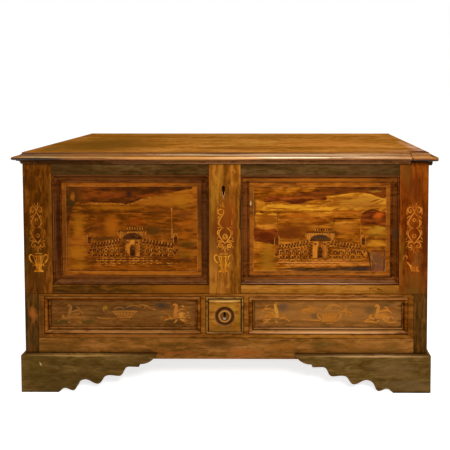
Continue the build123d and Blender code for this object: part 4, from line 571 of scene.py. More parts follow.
# %% Woods of the feet, sides and lid
# The pale bands along the top edges of the front feet (Z 134 and 136.5) are painted highlights;
# under is painted shade, and on the returns upper is painted light from above.
FOOT = wood("walnut_foot_sawn", "X", ("#4a330c", "#60451a", "#785a2c"), 17.7, figure=0.8,
            streaks=12, upper="#4a2c0e", under="#2c1c08", stray=2.0,
            stains=((-690, 90, 40, 60, "#523e10", 0.5), (-540, 136.5, 190, 5.0, "#b08648", 0.95),
                    (540, 134.0, 200, 4.6, "#bc905c", 0.95), (-600, 30, 110, 16, "#563f14", 0.5),
                    (600, 90, 90, 30, "#745630", 0.6), (640, 30, 100, 20, "#6c5230", 0.6),
                    (-330, 118, 40, 12, "#5c3c14", 0.5)))
FOOT_RETURN = wood("walnut_foot_return", "Y", ("#4a330c", "#60451a", "#785a2c"), 18.3, figure=0.8,
                   streaks=12, upper="#846434", under="#2c1c08", mottling=0.8)
SIDE = wood("walnut_side_board", "Y", ("#44280a", "#5a3812", "#704a1c"), 18.9, streaks=36, curl=0.6,
            mottling=0.4, dust_and_shade_reach=16)
# The pale pink patches at the right end (X 640 to 706) are a painted reflection; under gives the
# underside the colour of unwaxed wood.
LID_TOP = wood(
    "walnut_lid_board", "X", ("#85500f", "#a9681f", "#c68338"), 20.3, streaks=13, curl=0.9,
    gloss=0.0, roughness=0.6, plane=LYING, under="#3e3018",
    stains=((-520, -90, 260, 200, "#6e4610", 0.85), (-480, 180, 260, 70, "#845312", 0.6),
            (0, -278, 760, 9, "#7a4a14", 0.8), (706, -235, 30, 50, "#d8a890", 0.8),
            (704, -140, 22, 70, "#d0a080", 0.7), (700, -40, 20, 70, "#c48c60", 0.6),
            (640, -238, 50, 24, "#c08a60", 0.5),
            (90, -190, 210, 20, "#77481a", 0.6), (20, -60, 160, 30, "#b07c2a", 0.5),
            (420, -60, 220, 130, "#c4782e", 0.6), (-60, 90, 240, 30, "#a87224", 0.5),
            (560, -220, 130, 40, "#b0733c", 0.5), (-660, -200, 40, 60, "#6a4818", 0.5),
            (180, 120, 140, 24, "#94621c", 0.5), (-150, 20, 130, 18, "#8e5c18", 0.5),
            (0, 210, 240, 60, "#b87c34", 0.5),
            (704, -250, 60, 26, "#54280c", 0.97)))
# Many of these bands follow the moulding's profile: the pale ones along the nose and the hollow are
# painted highlights, partly wear, and the dark ones on the lower nose, the left end and the left
# mitre are painted shade.
LID_EDGE = wood(
    "walnut_lid_edge_waxed", "X", ("#774518", "#8e5926", "#a66e38"), 21.7, streaks=60, gloss=0.16,
    roughness=0.3, figure=0.9, stray=1.5, soft=0.5,
    stains=((200, 858, 520, 4.6, "#b8946e", 0.85), (-540, 858.5, 300, 3.4, "#7e4e1e", 0.7),
            (-706, 860, 44, 5, "#43302a", 0.7), (0, 864.6, 760, 3.6, "#6a3e10", 0.95),
            (0, 863, 110, 4.4, "#5c3410", 0.8), (500, 861, 130, 3.4, "#b48454", 0.85),
            (-620, 862.5, 110, 2.6, "#4c2c0c", 0.85), (570, 857, 110, 2.6, "#7c4e22", 0.9),
            (-640, 856.5, 90, 2.0, "#5e4020", 0.85), (570, 866, 100, 2.2, "#7a4a1c", 0.8),
            (0, 843.6, 900, 5.2, "#8a5022", 0.9), (-120, 846.5, 260, 5.6, "#b87a3c", 0.9),
            (-670, 845.5, 130, 7.0, "#2c1a06", 0.97), (200, 851.8, 230, 3.0, "#fbe0b2", 0.95),
            (-190, 850.6, 280, 4.4, "#cc8c46", 0.9), (-540, 852.8, 230, 2.2, "#ac8044", 0.9),
            (40, 849.6, 110, 4.4, "#dca468", 0.85), (560, 850.6, 170, 3.0, "#b8844e", 0.9),
            (-650, 853.6, 70, 2.0, "#c0a470", 0.9), (500, 854.6, 150, 2.0, "#ffe6c0", 0.97),
            (570, 845.4, 100, 3.0, "#6c3a14", 0.9), (658.5, 850, 1.6, 18, "#2c1606", 0.9)))
# The bright band at Z 851 is a painted highlight, and the near-black at Z 838 is painted shadow
# under the patch.
LID_PATCH = wood(
    "walnut_lid_patch_waxed", "X", ("#83480e", "#a5652a", "#c48446"), 22.6, streaks=50, gloss=0.12,
    roughness=0.35, stray=1.5, soft=0.5,
    stains=((700, 866.5, 80, 2.4, "#4c2a0a", 0.97), (700, 862.4, 80, 2.6, "#a0703c", 0.9),
            (700, 856.6, 80, 3.6, "#7c4e1e", 0.9), (700, 854, 80, 1.8, "#a06830", 0.9),
            (700, 851, 80, 1.8, "#e8a860", 0.9), (700, 848.2, 80, 2.2, "#8c5626", 0.9),
            (700, 844.5, 90, 3.6, "#5c3008", 0.9),
            (700, 838, 90, 6.4, "#140903", 0.97), (660.5, 850, 2.6, 18, "#2c1606", 0.95)))
# Nearly black: painted shade on the end of the cove under the lid.
COVE_END = wood("walnut_cove_end", "Y", ("#1e1004", "#36200a", "#4c2e12"), 22.9, streaks=50)
COVE = wood(
    "walnut_cove", "X", ("#4c280c", "#744420", "#925f38"), 23.8, streaks=50, dust_and_shade=0.5, gloss=0.0,
    stains=((-600, 833, 210, 20, "#44280f", 0.9), (-290, 832, 150, 14, "#805434", 0.6),
            (60, 828, 330, 3, "#99683e", 0.7), (-20, 840, 330, 3.0, "#a8642c", 0.85)))
LID_SIDE = wood("walnut_lid_side_dull", "Y", ("#5a3410", "#7a4c1e", "#946634"), 24.6, streaks=60,
                gloss=0.0)
POPLAR = {grain: wood("poplar_bare_sawn_" + grain.lower(), grain, ("#765732", "#8a6b42", "#9a7c4e"),
                      25.0 + number, streaks=44, roughness=0.7, gloss=0.05, mottling=0.3,
                      dust_and_shade_reach=30)
          for number, grain in enumerate("XYZ")}
print("foot, side, lid and inside woods made")

# %% [markdown]
# ## Forged iron
# Hinges, nails and lock plates were hammered from bar and have rusted to a dark brown skin. Rust is
# rough and hardly metallic, while the bare black iron between it still has a dull gleam. One
# pattern steers colour, metal and roughness together, so that they change at the same edge.

# %% Iron
RUST_EDGE = (0.42, 0.6)  # of the rust pattern, from black iron to rust


def forged_iron(name):
    """Blackened iron under patches of rust 11 mm wide; hammer marks are about 6 mm wide."""
    material, tree, out = new_material(name)
    rust = pattern(tree, "X", 31.0, 90.0, 90.0, 5.0, 0.5)
    hammered = pattern(tree, "X", 33.0, 160.0, 160.0, 2.0)
    scale = pattern(tree, "X", 35.0, 1400.0, 1400.0, 2.0)
    colour = covered(tree, linear("#2c2926"), "#4a2c18", rust, RUST_EDGE, (0.0, 1.0))
    metallic, roughness = (
        node(tree, "MapRange", {0: rust, 1: RUST_EDGE[0], 2: RUST_EDGE[1], 3: black, 4: rusted})
        for black, rusted in ((0.85, 0.1), (0.45, 0.85)))
    height = weigh(tree, ((hammered, 1.0), (scale, 0.25)))
    bump = node(tree, "Bump", {"Strength": 0.5, "Distance": 0.4 * MM, "Height": height})
    shader = node(tree, "BsdfPrincipled", {
        "Base Color": colour, "Metallic": metallic.outputs[0], "Roughness": roughness.outputs[0],
        "Normal": bump.outputs[0]})
    tree.links.new(shader.outputs[0], out.inputs["Surface"])
    return material


IRON = forged_iron("iron_forged_rusted")
print("iron made")

# %% Dress the front frame
FRAME_WEAR = 1.0  # mm that wear has rounded off its edges
for name, material in {
    "stile_left": STILE_LEFT, "stile_center": STILE_CENTER, "stile_right": STILE_RIGHT,
    "post_left": POST, "post_right": POST, "rail_top_left": RAIL_TOP,
    "rail_top_right": RAIL_TOP, "rail_mid_left": RAIL_MID_LEFT,
    "rail_mid_right": RAIL_MID_RIGHT, "rail_bottom": RAIL_BOTTOM,
}.items():
    dress(name, material, FRAME_WEAR, in_front)
print("front frame dressed")

# %% Dress the panels, the drawer front, the lid and the feet
FOOT_WEAR = 1.6  # mm, because shoes and mops knock the feet
for name, material in {
    "panel_left": PANEL_LEFT, "panel_right": PANEL_RIGHT, "panel_moulding_left": PANEL_MOULDING,
    "panel_moulding_right": PANEL_MOULDING, "side_boards_left": SIDE, "side_boards_right": SIDE,
    "drawer_border": DRAWER_BORDER, "drawer_moulding_left": DRAWER_MOULDING,
    "drawer_moulding_right": DRAWER_MOULDING, "drawer_front": DRAWER_FIELD,
    "drawer_block": BLOCK, "drawer_rosette": ROSETTE, "drawer_block_moulding": BLOCK_MOULDING,
    "lid_board_front": LID_TOP, "lid_board_middle": LID_TOP, "lid_board_back": LID_TOP,
    "lid_cove_front": COVE, "lid_cove_left": COVE, "lid_cove_right": COVE_END,
}.items():
    dress(name, material)
for name, material in {
    "lid_edge_front": LID_EDGE, "lid_corner_patch": LID_PATCH, "lid_edge_left": LID_SIDE,
    "lid_edge_right": LID_SIDE,
}.items():
    dress(name, material, top=LID_TOP)
for name, material in {
    "foot_front_left": FOOT, "foot_front_right": FOOT, "foot_returns": FOOT_RETURN,
}.items():
    dress(name, material, FOOT_WEAR)
print("panels, drawer front, lid and feet dressed")

# %% [markdown]
# ## The hidden pieces
# What nobody was meant to see is bare poplar, straight from the saw, and the metal is iron. These
# CAD pieces keep their shape and only get a finish, with the grain along each board.

# %% Finishes of the hidden pieces
ALONG_Y = {"drawer_sides", "drawer_bottom", "drawer_runners", "floor_cleats", "lid_battens"}
for name, cad in frame["nodes"].items():
    if cad.hide_render:
        continue
    if "iron" in SLOT_OF[name]:
        finish = IRON
    elif name in ALONG_Y:
        finish = POPLAR["Y"]
    elif "feet" in name or "foot" in name:
        finish = POPLAR["Z"]
    else:
        finish = POPLAR["X"]
    cad.data.materials.clear()
    cad.data.materials.append(finish)
print("hidden pieces finished")

# %% [markdown]
# ## Cutting inlay and veneer
# Marquetry is a jigsaw of thin woods. Fine scrolls are laid as tapering strips, and here they are
# curves with a round bevel, pressed flat until they stand a fraction of a millimetre proud. A
# picture on the surface would be quicker, but real strips catch the light and keep sharp edges.
# Larger pieces are outlines that a flat curve fills. Both become meshes on the face that carries
# them. A point of a line is (x, z, width) and a point of an outline is (x, z), in millimetres.

# %% Lines and outlines
FLOWING = 3  # NURBS order of a line that flows past its points
STRAIGHT = 2  # NURBS order of a line that runs straight from point to point
SMOOTH_STEPS = 4  # points of a flowing line for each point that it is given
ROUND_STEPS = 5  # the same for an outline with round corners
STRIP_WELD = 0.001  # mm between corners that are the same


def mesh_of(curve):
    """The mesh of a curve, and the curve thrown away."""
    holder = bpy.data.objects.new(curve.name, curve)
    mesh = bpy.data.meshes.new_from_object(holder)
    bpy.data.objects.remove(holder)
    bpy.data.curves.remove(curve)
    return mesh


def drawn_lines(lines, proud, order):
    """Round tapering lines in the plane of the front, pressed flat."""
    curve = bpy.data.curves.new("lines", "CURVE")
    curve.dimensions = "3D"
    curve.bevel_depth = 0.5 * MM
    curve.bevel_resolution = 1
    curve.use_fill_caps = True
    for line in lines:
        spline = curve.splines.new("NURBS")
        spline.points.add(len(line) - 1)
        for point, (x, z, width) in zip(spline.points, line):
            point.co = (x * MM, 0, z * MM, 1)
            point.radius = width
        spline.order_u = min(order, len(line))
        spline.use_endpoint_u = True
        spline.resolution_u = SMOOTH_STEPS
    mesh = mesh_of(curve)
    widest = max(width for line in lines for _, _, width in line)
    mesh.transform(Matrix.Diagonal((1, 2 * proud / widest, 1, 1)))
    return mesh


def filled_area(outline, proud, corners):
    """A thin plate cut to a closed outline; corners are VECTOR, which is sharp, or AUTO, round."""
    curve = bpy.data.curves.new("area", "CURVE")
    curve.dimensions = "2D"
    curve.fill_mode = "BOTH"
    curve.extrude = proud * MM
    spline = curve.splines.new("BEZIER")
    spline.bezier_points.add(len(outline) - 1)
    for point, (x, z) in zip(spline.bezier_points, outline):
        point.co = (x * MM, z * MM, 0)
        point.handle_left_type = corners
        point.handle_right_type = corners
    spline.use_cyclic_u = True
    spline.resolution_u = 1 if corners == "VECTOR" else ROUND_STEPS
    mesh = mesh_of(curve)
    mesh.transform(Matrix.Rotation(math.pi / 2, 4, "X"))
    return mesh


def inlay(name, ground, material, lines=(), areas=(), proud=0.2, order=FLOWING, corners="VECTOR"):
    """One piece of inlay, sunk as deep as it stands proud.

    ground is the face that carries it: its Y in mm, the body it rides on and its slot, which is not
    used.
    """
    y, body, slot = ground
    shape = bmesh.new()
    if lines:
        shape.from_mesh(drawn_lines(lines, proud, order))
    for outline in areas:
        shape.from_mesh(filled_area(outline, proud, corners))
    bmesh.ops.translate(shape, vec=(0, y * MM, 0), verts=shape.verts)
    bmesh.ops.remove_doubles(shape, verts=shape.verts, dist=STRIP_WELD * MM)
    bmesh.ops.recalc_face_normals(shape, faces=shape.faces)
    finish_piece(shape, name, body, material)


# %% Shapes that inlay is made of
def bar(x0, x1, z0, z1):
    """The outline of an upright rectangle."""
    return [(x0, z0), (x1, z0), (x1, z1), (x0, z1)]


RING_SIDES = 14
VOLUTE_STEPS = 14  # in a full turn
VOLUTE_WINDS_IN = 0.82  # share of its radius
VOLUTE_TAPERS = 0.35  # share of its width


def round_dot(x, z, radius, sides=10):
    """The outline of a disc."""
    turns = [2 * math.pi * i / sides for i in range(sides)]
    return [(x + radius * math.cos(t), z + radius * math.sin(t)) for t in turns]


def volute(x, z, radius, start, turns, hand, width):
    """A scroll round (x, z) that winds in from its open end; start is in degrees."""
    steps = round(VOLUTE_STEPS * turns)
    line = []
    for step in range(steps + 1):
        share = step / steps
        angle = math.radians(start) + hand * 2 * math.pi * turns * share
        reach = radius * (1 - VOLUTE_WINDS_IN * share)
        line.append((x + reach * math.cos(angle), z + reach * math.sin(angle),
                     width * (1 - VOLUTE_TAPERS * share)))
    return line


def ring(x, z, radius, width):
    """A round line that ends where it starts."""
    dots = round_dot(x, z, radius, RING_SIDES)
    return [(*dot, width) for dot in dots + dots[:1]]


def flipped(lines):
    """The mirror image of lines or outlines across X zero."""
    return [[(-point[0], *point[1:]) for point in line] for line in lines]


def placed(lines, x, z, wide=1.0, high=1.0):
    """Lines or outlines stretched, then moved to (x, z)."""
    return [[(x + wide * point[0], z + high * point[1], *point[2:]) for point in line]
            for line in lines]


def border(x0, x1, z0, z1, inset, width):
    """Four mitred strips inside a rectangle."""
    a0, a1, b0, b1 = x0 + inset, x1 - inset, z0 + inset, z1 - inset
    c0, c1, d0, d1 = a0 + width, a1 - width, b0 + width, b1 - width
    return [[(a0, b1), (c0, d1), (c1, d1), (a1, b1)], [(a0, b0), (a1, b0), (c1, d0), (c0, d0)],
            [(a0, b0), (c0, d0), (c0, d1), (a0, b1)], [(a1, b0), (a1, b1), (c1, d1), (c1, d0)]]


def box_lines(x0, x1, z0, z1, width):
    """Four straight lines round a rectangle."""
    corners = [(x0, z0), (x1, z0), (x1, z1), (x0, z1), (x0, z0)]
    return [[(*first, width), (*second, width)] for first, second in zip(corners, corners[1:])]


# %% [markdown]
# ## Woods for inlay
# The light lines are boxwood and pear, gone golden under old wax and darker where smoke reached
# them. The dark ones are bog oak, black from its years in a moor, and smoked walnut. All are too
# dense to show pores, so their streaks are finer than those of the boards. Dust and wax pack every
# joint, and bare pale wood shows where a corner has chipped.

# %% Inlay woods
BOXWOOD_LEFT = wood("boxwood_inlay_left", "Z", ("#703c0a", "#9a5812", "#b87422"), 41.0, streaks=90,
                    stains=((-690, 640, 8, 50, "#a8581a", 0.7),
                            (-660, 480, 30, 30, "#a87820", 0.7)))
BOXWOOD_MIDDLE = wood("boxwood_inlay_middle", "Z", ("#9a560e", "#c0741c", "#d69038"), 42.0,
                      streaks=90, stains=((24, 620, 10, 80, "#a8541c", 0.7),))
BOXWOOD_RIGHT = wood("boxwood_inlay_right", "Z", ("#8a440a", "#ae5e16", "#c87a2a"), 43.0,
                     streaks=90, stains=((645, 640, 12, 50, "#c07420", 0.6),))
BOXWOOD_URN = wood("boxwood_inlay_urn", "Z", ("#8a4a0a", "#b46a12", "#d08a24"), 44.0, streaks=90,
                   figure=1.3)
PEAR_LEFT = wood("pearwood_inlay_left", "Z", ("#6c360a", "#985412", "#bc7222"), 45.0, streaks=90,
                 figure=1.6, stains=((-338, 565, 60, 16, "#8c5216", 0.85),
                                     (-352, 520, 9, 26, "#b06a18", 0.7),
                                     (-325, 515, 8, 26, "#84480e", 0.6)))
PEAR_RIGHT = wood("pearwood_inlay_right", "Z", ("#743c0c", "#9c5818", "#c07426"), 46.0, streaks=90,
                  figure=1.6, stains=((340, 561, 60, 16, "#ac6a20", 0.9),
                                      (326, 512, 9, 26, "#c07018", 0.85),
                                      (354, 510, 8, 26, "#9a5210", 0.8),
                                      (340, 460, 180, 12, "#cc7a2c", 0.9)))
PEAR_DRAWER = wood("pearwood_inlay_drawer", "X", ("#7a4410", "#9e5e1c", "#c07c2e"), 47.0,
                   streaks=90, figure=1.5,
                   stains=((360, 280, 330, 80, "#b06a1e", 0.7),
                           (-400, 280, 200, 60, "#8a541c", 0.7),
                           (-565, 280, 70, 60, "#7c4c1a", 0.7),
                           (-186, 290, 14, 34, "#b06624", 0.8),
                           (180, 290, 14, 34, "#c4862c", 0.8),
                           (380, 296, 70, 16, "#94602a", 0.6)))
CROSSBAND = wood(
    "walnut_crossband_veneer", "X", ("#64320a", "#88460c", "#a65c14"), 48.0, streaks=50,
    stains=((-110, 700, 60, 70, "#5c300c", 0.8), (-582, 580, 14, 190, "#683408", 0.95),
            (-94, 640, 14, 120, "#4c260c", 0.9), (-94, 480, 14, 60, "#80440a", 0.8),
            (-270, 746, 130, 9, "#96500f", 0.7),
            (-450, 749, 120, 7, "#85450d", 0.6),
            (-250, 424, 190, 8, "#a25c12", 0.7), (95, 690, 16, 60, "#5e3410", 0.7),
            (92, 570, 12, 66, "#94500f", 0.8), (92, 470, 12, 30, "#7a400c", 0.6),
            (330, 424, 260, 9, "#a06020", 0.6),
            (585, 600, 14, 160, "#7e420c", 0.6)))
BOXWOOD_STRING = wood("boxwood_string", "X", ("#7a4814", "#98602a", "#b47a38"), 49.0, streaks=80,
                      stains=((-110, 700, 60, 70, "#6a3a10", 0.8),))
SMOKED = wood(
    "walnut_veneer_smoked", "X", ("#3e1c03", "#5e2a05", "#7a3a0b"), 50.0, streaks=22, curl=1.2,
    stains=((-350, 713, 14, 14, "#2c1a10", 0.9), (-280, 708, 60, 7, "#8a3c08", 0.7),
            (-430, 706, 90, 8, "#7a3408", 0.6), (-440, 731, 40, 5, "#3a1c04", 0.8),
            (-554, 690, 34, 64, "#3c2609", 0.85), (-552, 702, 9, 20, "#9c500e", 0.85),
            (430, 728, 110, 8, "#5a2a08", 0.7),
            (545, 712, 30, 10, "#7a3406", 0.7), (540, 724, 26, 5, "#a06a20", 0.7),
            (330, 726, 18, 6, "#3c1e06", 0.8)))
RED_VENEER = wood(
    "walnut_veneer_red", "X", ("#4e1e04", "#6e2e07", "#8c400e"), 51.0, streaks=26, curl=1.0,
    figure=1.2, stains=((548, 636, 22, 10, "#b8500e", 0.9), (520, 618, 40, 8, "#82400c", 0.6),
                        (144, 560, 44, 20, "#521c04", 0.8),
                        (270, 700, 90, 5, "#964a0e", 0.7), (250, 684, 24, 4, "#4a1c04", 0.8)))
STREAK_VENEER = wood("walnut_veneer_streaks", "X", ("#74380a", "#8e4c0c", "#a8621a"), 51.6,
                     streaks=40, figure=1.3)
DARK_VENEER = wood("walnut_veneer_dark", "X", ("#3a220c", "#523014", "#74461f"), 52.0, streaks=30,
                   figure=1.3, stains=((480, 441, 50, 10, "#36261a", 0.9),))
AMBER_VENEER = wood(
    "walnut_veneer_amber", "X", ("#844508", "#aa6410", "#cc881e"), 53.0, streaks=34, curl=1.4,
    figure=1.5, stains=((480, 684, 100, 28, "#a0661a", 0.8), (440, 648, 70, 8, "#a0500e", 0.7),
                        (230, 668, 100, 10, "#cc8a1c", 0.7), (540, 700, 40, 8, "#ac7020", 0.6)))
ROOT_VENEER = wood("walnut_veneer_root", "Z", ("#4c2810", "#704018", "#90582a"), 54.0, streaks=22,
                   curl=2.6, figure=1.2, stains=((570, 456, 8, 30, "#43301f", 0.7),))
BOG_OAK = wood("bog_oak_inlay", "X", ("#2c1404", "#401e07", "#5c3210"), 55.0, streaks=80,
               stains=((-300, 530, 12, 40, "#382c10", 0.8), (330, 560, 50, 12, "#43301c", 0.8)))
# Dark packed dust for joints, cracks and worm holes; the same wood also stands for painted shade in
# the mouldings' quirks and painted shadow under the lid's corner patch.
PACKED_DUST_AND_SHADE = wood("wax_dust_and_painted_shade", "X", ("#1c0c04", "#2c1406", "#40200c"), 56.0, streaks=60,
                   roughness=0.8, gloss=0.0, dust_and_shade=0.4)
# Near-black for painted shade beside the key hole, which makes it look wider.
KEYHOLE_SHADE = wood("keyhole_painted_shade", "Z", ("#0a0502", "#140a04", "#241206"), 56.6, streaks=60,
                  roughness=0.8, gloss=0.0)
# Bare pale wood of chips; the same wood also stands for a painted glint below the key hole.
BARE_WOOD_AND_GLINT = wood("walnut_bare_chipped_and_glint", "X", ("#94703c", "#b48c54", "#cfa973"), 57.0, streaks=120)
print("inlay woods made")

# %% [markdown]
# ## Borders of the two panels
# Each veneered field has a band of walnut laid crosswise, mitred at its corners, with a thin string
# of boxwood inside it. Each strip of the band is an outline of its own, so its mitre is a real
# joint. Packed dust blackens the joint between frame and moulding, and strips of dust and painted
# shade darken each quirk.

# %% Bands, strings, and strips of dust and painted shade round the panels
ON_PANEL = (BODY_FRONT + 12.0, "case", "burr_walnut")
MOULDING_WIDTH = 29.0
BAND_GAP = 0.4
BAND_WIDTH = 15.0
STRING_WIDTH = 1.6
PANEL_DUST_AND_SHADE = (  # dark strips of dust and painted shade: how far in from the frame, how far behind its face, and how wide, in mm
    (0.6, 1.3, 1.5), (7.0, 5.2, 1.8), (24.3, 10.0, 1.4), (28.8, 11.8, 1.8))


def span(low, high):
    """The reach of a box across the front in mm: left, right, bottom, top."""
    return low[0] / MM, high[0] / MM, low[2] / MM, high[2] / MM


def shrunk(opening, inset):
    """A rectangle made smaller all round."""
    x0, x1, z0, z1 = opening
    return x0 + inset, x1 - inset, z0 + inset, z1 - inset


def dust_and_shade_lines(name, opening, body, rows):
    """Rings of dark strips inside a frame, dust and painted shade; rows gives each one's inset,
    depth and width.
    """
    for number, (inset, depth, width) in enumerate(rows):
        inlay(f"{name}_{number}", (BODY_FRONT + depth, body, "walnut_moulding"), PACKED_DUST_AND_SHADE,
              lines=box_lines(*shrunk(opening, inset), width), proud=0.6, order=STRAIGHT)


for hand in ("left", "right"):
    opening = span(*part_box(f"panel_moulding_{hand}"))
    field = shrunk(opening, MOULDING_WIDTH)
    inlay(f"crossband_{hand}", ON_PANEL, CROSSBAND, areas=border(*field, BAND_GAP, BAND_WIDTH),
          proud=0.3)
    inlay(f"string_{hand}", ON_PANEL, BOXWOOD_STRING, proud=0.36, order=STRAIGHT,
          lines=box_lines(*shrunk(field, BAND_WIDTH + 0.5), STRING_WIDTH))
    dust_and_shade_lines(f"panel_dust_{hand}", opening, "case", PANEL_DUST_AND_SHADE)
    print(hand, "field", [round(v, 1) for v in field])

# %% [markdown]
# ## Veneer pictures: ground
# A picture in wood uses the figure of each piece: a smoky cloud, a bright hill, a dark rock. These
# pieces have crisp edges, so they are cut as thin plates, and bright streaks and shaded rims are
# strips laid over them. The cracks that run along the grain came when the boards behind the veneer
# shrank, and here they are strips of dark dust.

# %% Pieces of the two pictures
VENEERS = {  # each veneer, how proud it stands in mm, and its outline
    "cloud_left": (SMOKED, 0.16, [
        (-577, 739), (-340, 739), (-120, 739), (-150, 728), (-200, 719), (-250, 709), (-290, 701),
        (-322, 688), (-352, 677), (-400, 684), (-470, 685), (-518, 680), (-545, 690),
        (-577, 695)]),
    "rock_left": (SMOKED, 0.2, [
        (-577, 739), (-534, 739), (-526, 715), (-536, 690), (-551, 668), (-559, 640), (-569, 600),
        (-577, 570)]),
    "cloud_right": (SMOKED, 0.16, [
        (250, 712), (300, 722), (340, 733), (440, 739), (577, 739), (577, 702), (545, 705),
        (520, 714), (470, 719), (420, 713), (370, 708), (320, 704)]),
    "cloud_low_right": (RED_VENEER, 0.18, [
        (136, 690), (150, 703), (200, 707), (270, 708), (330, 704), (364, 698), (330, 693),
        (300, 689), (272, 679), (238, 677), (224, 684), (180, 688), (150, 684)]),
    "glow_right": (AMBER_VENEER, 0.15, [
        (118, 652), (134, 664), (148, 684), (200, 687), (228, 682), (300, 688), (350, 703),
        (398, 708), (420, 713), (470, 719), (520, 714), (545, 705), (577, 700), (577, 655),
        (545, 660), (520, 658), (495, 650), (470, 640), (420, 638), (370, 644), (320, 650),
        (220, 650), (160, 651)]),
    "glow_low_right": (AMBER_VENEER, 0.15, [
        (110, 645), (150, 646), (181, 644), (184, 625), (180, 610), (150, 604), (112, 606)]),
    "rock_right": (RED_VENEER, 0.2, [
        (101, 588), (140, 584), (184, 581), (190, 562), (184, 534), (150, 535), (120, 541),
        (101, 549)]),
    "house_right": (RED_VENEER, 0.2, [
        (490, 605), (489, 636), (502, 650), (524, 655), (550, 651), (577, 647), (577, 603),
        (530, 604)]),
}
for name, (veneer, proud, outline) in VENEERS.items():
    inlay(name, ON_PANEL, veneer, areas=[outline], proud=proud, corners="AUTO")

# %% Streaks, shaded edges and cracks
STREAKS = ((376, 652, 478, 688, 6), (440, 656, 566, 700, 7), (404, 694, 524, 706, 5),
           (500, 662, 575, 694, 6), (196, 676, 300, 678, 4), (130, 666, 240, 661, 4),
           (300, 664, 410, 690, 5), (120, 630, 180, 631, 4), (200, 620, 330, 632, 6),
           (240, 604, 300, 598, 5), (400, 604, 480, 612, 5), (520, 672, 576, 668, 4))
STRIPS = {  # each strip's material, how proud it stands in mm, and its lines
    "hill_rim_left": (PEAR_LEFT, 0.2, [
        [(-530, 672, 1), (-490, 678, 2.4), (-430, 680, 2.4), (-390, 679, 3), (-352, 673, 4),
         (-326, 683, 3.4), (-296, 696, 2), (-250, 705, 1)]]),
    "moat_right": (DARK_VENEER, 0.24, [
        [(176, 440, 1), (250, 442, 11), (330, 439, 12), (410, 441, 14), (470, 441, 18),
         (524, 443, 18)], [(236, 435, 1), (300, 434, 7), (380, 437, 5), (430, 436, 1)]]),
    "root_right": (ROOT_VENEER, 0.3, [
        [(500, 514, 3), (518, 500, 10), (532, 470, 9), (533, 440, 7), (526, 428, 2)],
        [(578, 514, 2), (573, 494, 7), (570, 466, 6), (573, 440, 8), (576, 426, 3)]]),
    "streaks_right": (STREAK_VENEER, 1.2, [
        [(x0, z0, 1), (0.6 * x0 + 0.4 * x1, 0.5 * (z0 + z1) - 4, 2.3 * width), (x1, z1, 1)]
        for x0, z0, x1, z1, width in STREAKS]),
    "cracks_left": (PACKED_DUST_AND_SHADE, 0.3, [
        [(-562, 647, 1.0), (-480, 646, 2.0), (-400, 647, 1.4), (-300, 646, 1.8), (-185, 647, 0.8)],
        [(-515, 684, 1.0), (-470, 686, 3.4), (-400, 684, 3.0), (-360, 679, 1.0)],
        [(-450, 735, 1.0), (-428, 731, 3.0), (-408, 724, 1.0)],
        [(-580, 737, 1.2), (-350, 738, 2.4), (-130, 737, 1.4)],
        [(-556, 515, 0.8), (-505, 516, 1.4)],
        [(-576, 700, 1.0), (-575, 560, 2.4), (-576, 440, 1.0)],
        [(-580, 433, 0.8), (-400, 435, 1.8), (-200, 433, 1.0)]]),
    "cracks_right": (PACKED_DUST_AND_SHADE, 0.3, [
        [(104, 648, 1.0), (200, 647, 1.8), (270, 648, 1.4), (324, 646, 0.8)],
        [(384, 625, 1.4), (400, 627, 3.4), (450, 625, 3.4), (486, 627, 1.6)],
        [(490, 642, 1.4), (504, 652, 5.0), (524, 657, 6.5), (548, 653, 4.0), (566, 646, 1.2)],
        [(502, 516, 3.0), (514, 500, 5.0), (520, 470, 4.0), (524, 432, 2.0)],
        [(574, 512, 2.0), (576, 470, 3.5), (568, 428, 2.0)],
        [(300, 654, 0.8), (322, 668, 1.8), (346, 684, 0.8)],
        [(418, 672, 1.0), (440, 678, 2.4), (470, 690, 1.0)],
        [(486, 674, 1.0), (510, 680, 3.0), (540, 682, 1.0)],
        [(440, 652, 0.8), (480, 660, 1.8), (520, 672, 0.8)],
        [(420, 694, 0.8), (450, 702, 1.6), (500, 708, 0.8)],
        [(102, 543, 1.0), (140, 536, 2.4), (182, 533, 2.0)],
        [(504, 551, 1.2), (540, 550, 3.0), (577, 551, 1.4)],
        [(100, 738, 1.0), (300, 739, 1.8), (420, 738, 2.6), (577, 739, 2.0)],
        [(384, 600, 1.4), (394, 612, 4.0), (390, 622, 2.0)]]),
}
for name, (material, proud, lines) in STRIPS.items():
    inlay(name, ON_PANEL, material, lines=lines, proud=proud)
print(len(VENEERS), "veneers and", len(STRIPS), "sets of strips laid")

# %% [markdown]
# ## Veneer pictures: the fortified gate
# Both panels show the same sort of view that inlay workers cut for centuries: a gate with a broad
# arch, battlemented wings that step down to small towers, a moat in wavy lines. It is built here
# from bars, dots and arcs round the middle of the gate, at the ground line.

# %% The gate
GATE_HALF = 27.0
WING_START = 40.0
MERLON_PITCH = 11.0
MERLONS = 10
WING_FALL = 1.9  # mm that each merlon stands lower than the one before
ARCADE_PITCH = 21.0
ARCADES = 5
ARCADE_START = 54.0
TOWER_X = 156.0
WALL_TOP = 64.0
QUOINS = 10
WAVE_HEIGHT = 1.6
WAVE_LENGTH = 22.0


def block_from(x, z, half, height):
    """The outline of a small upright block that stands at (x, z)."""
    return bar(x - half, x + half, z, z + height)


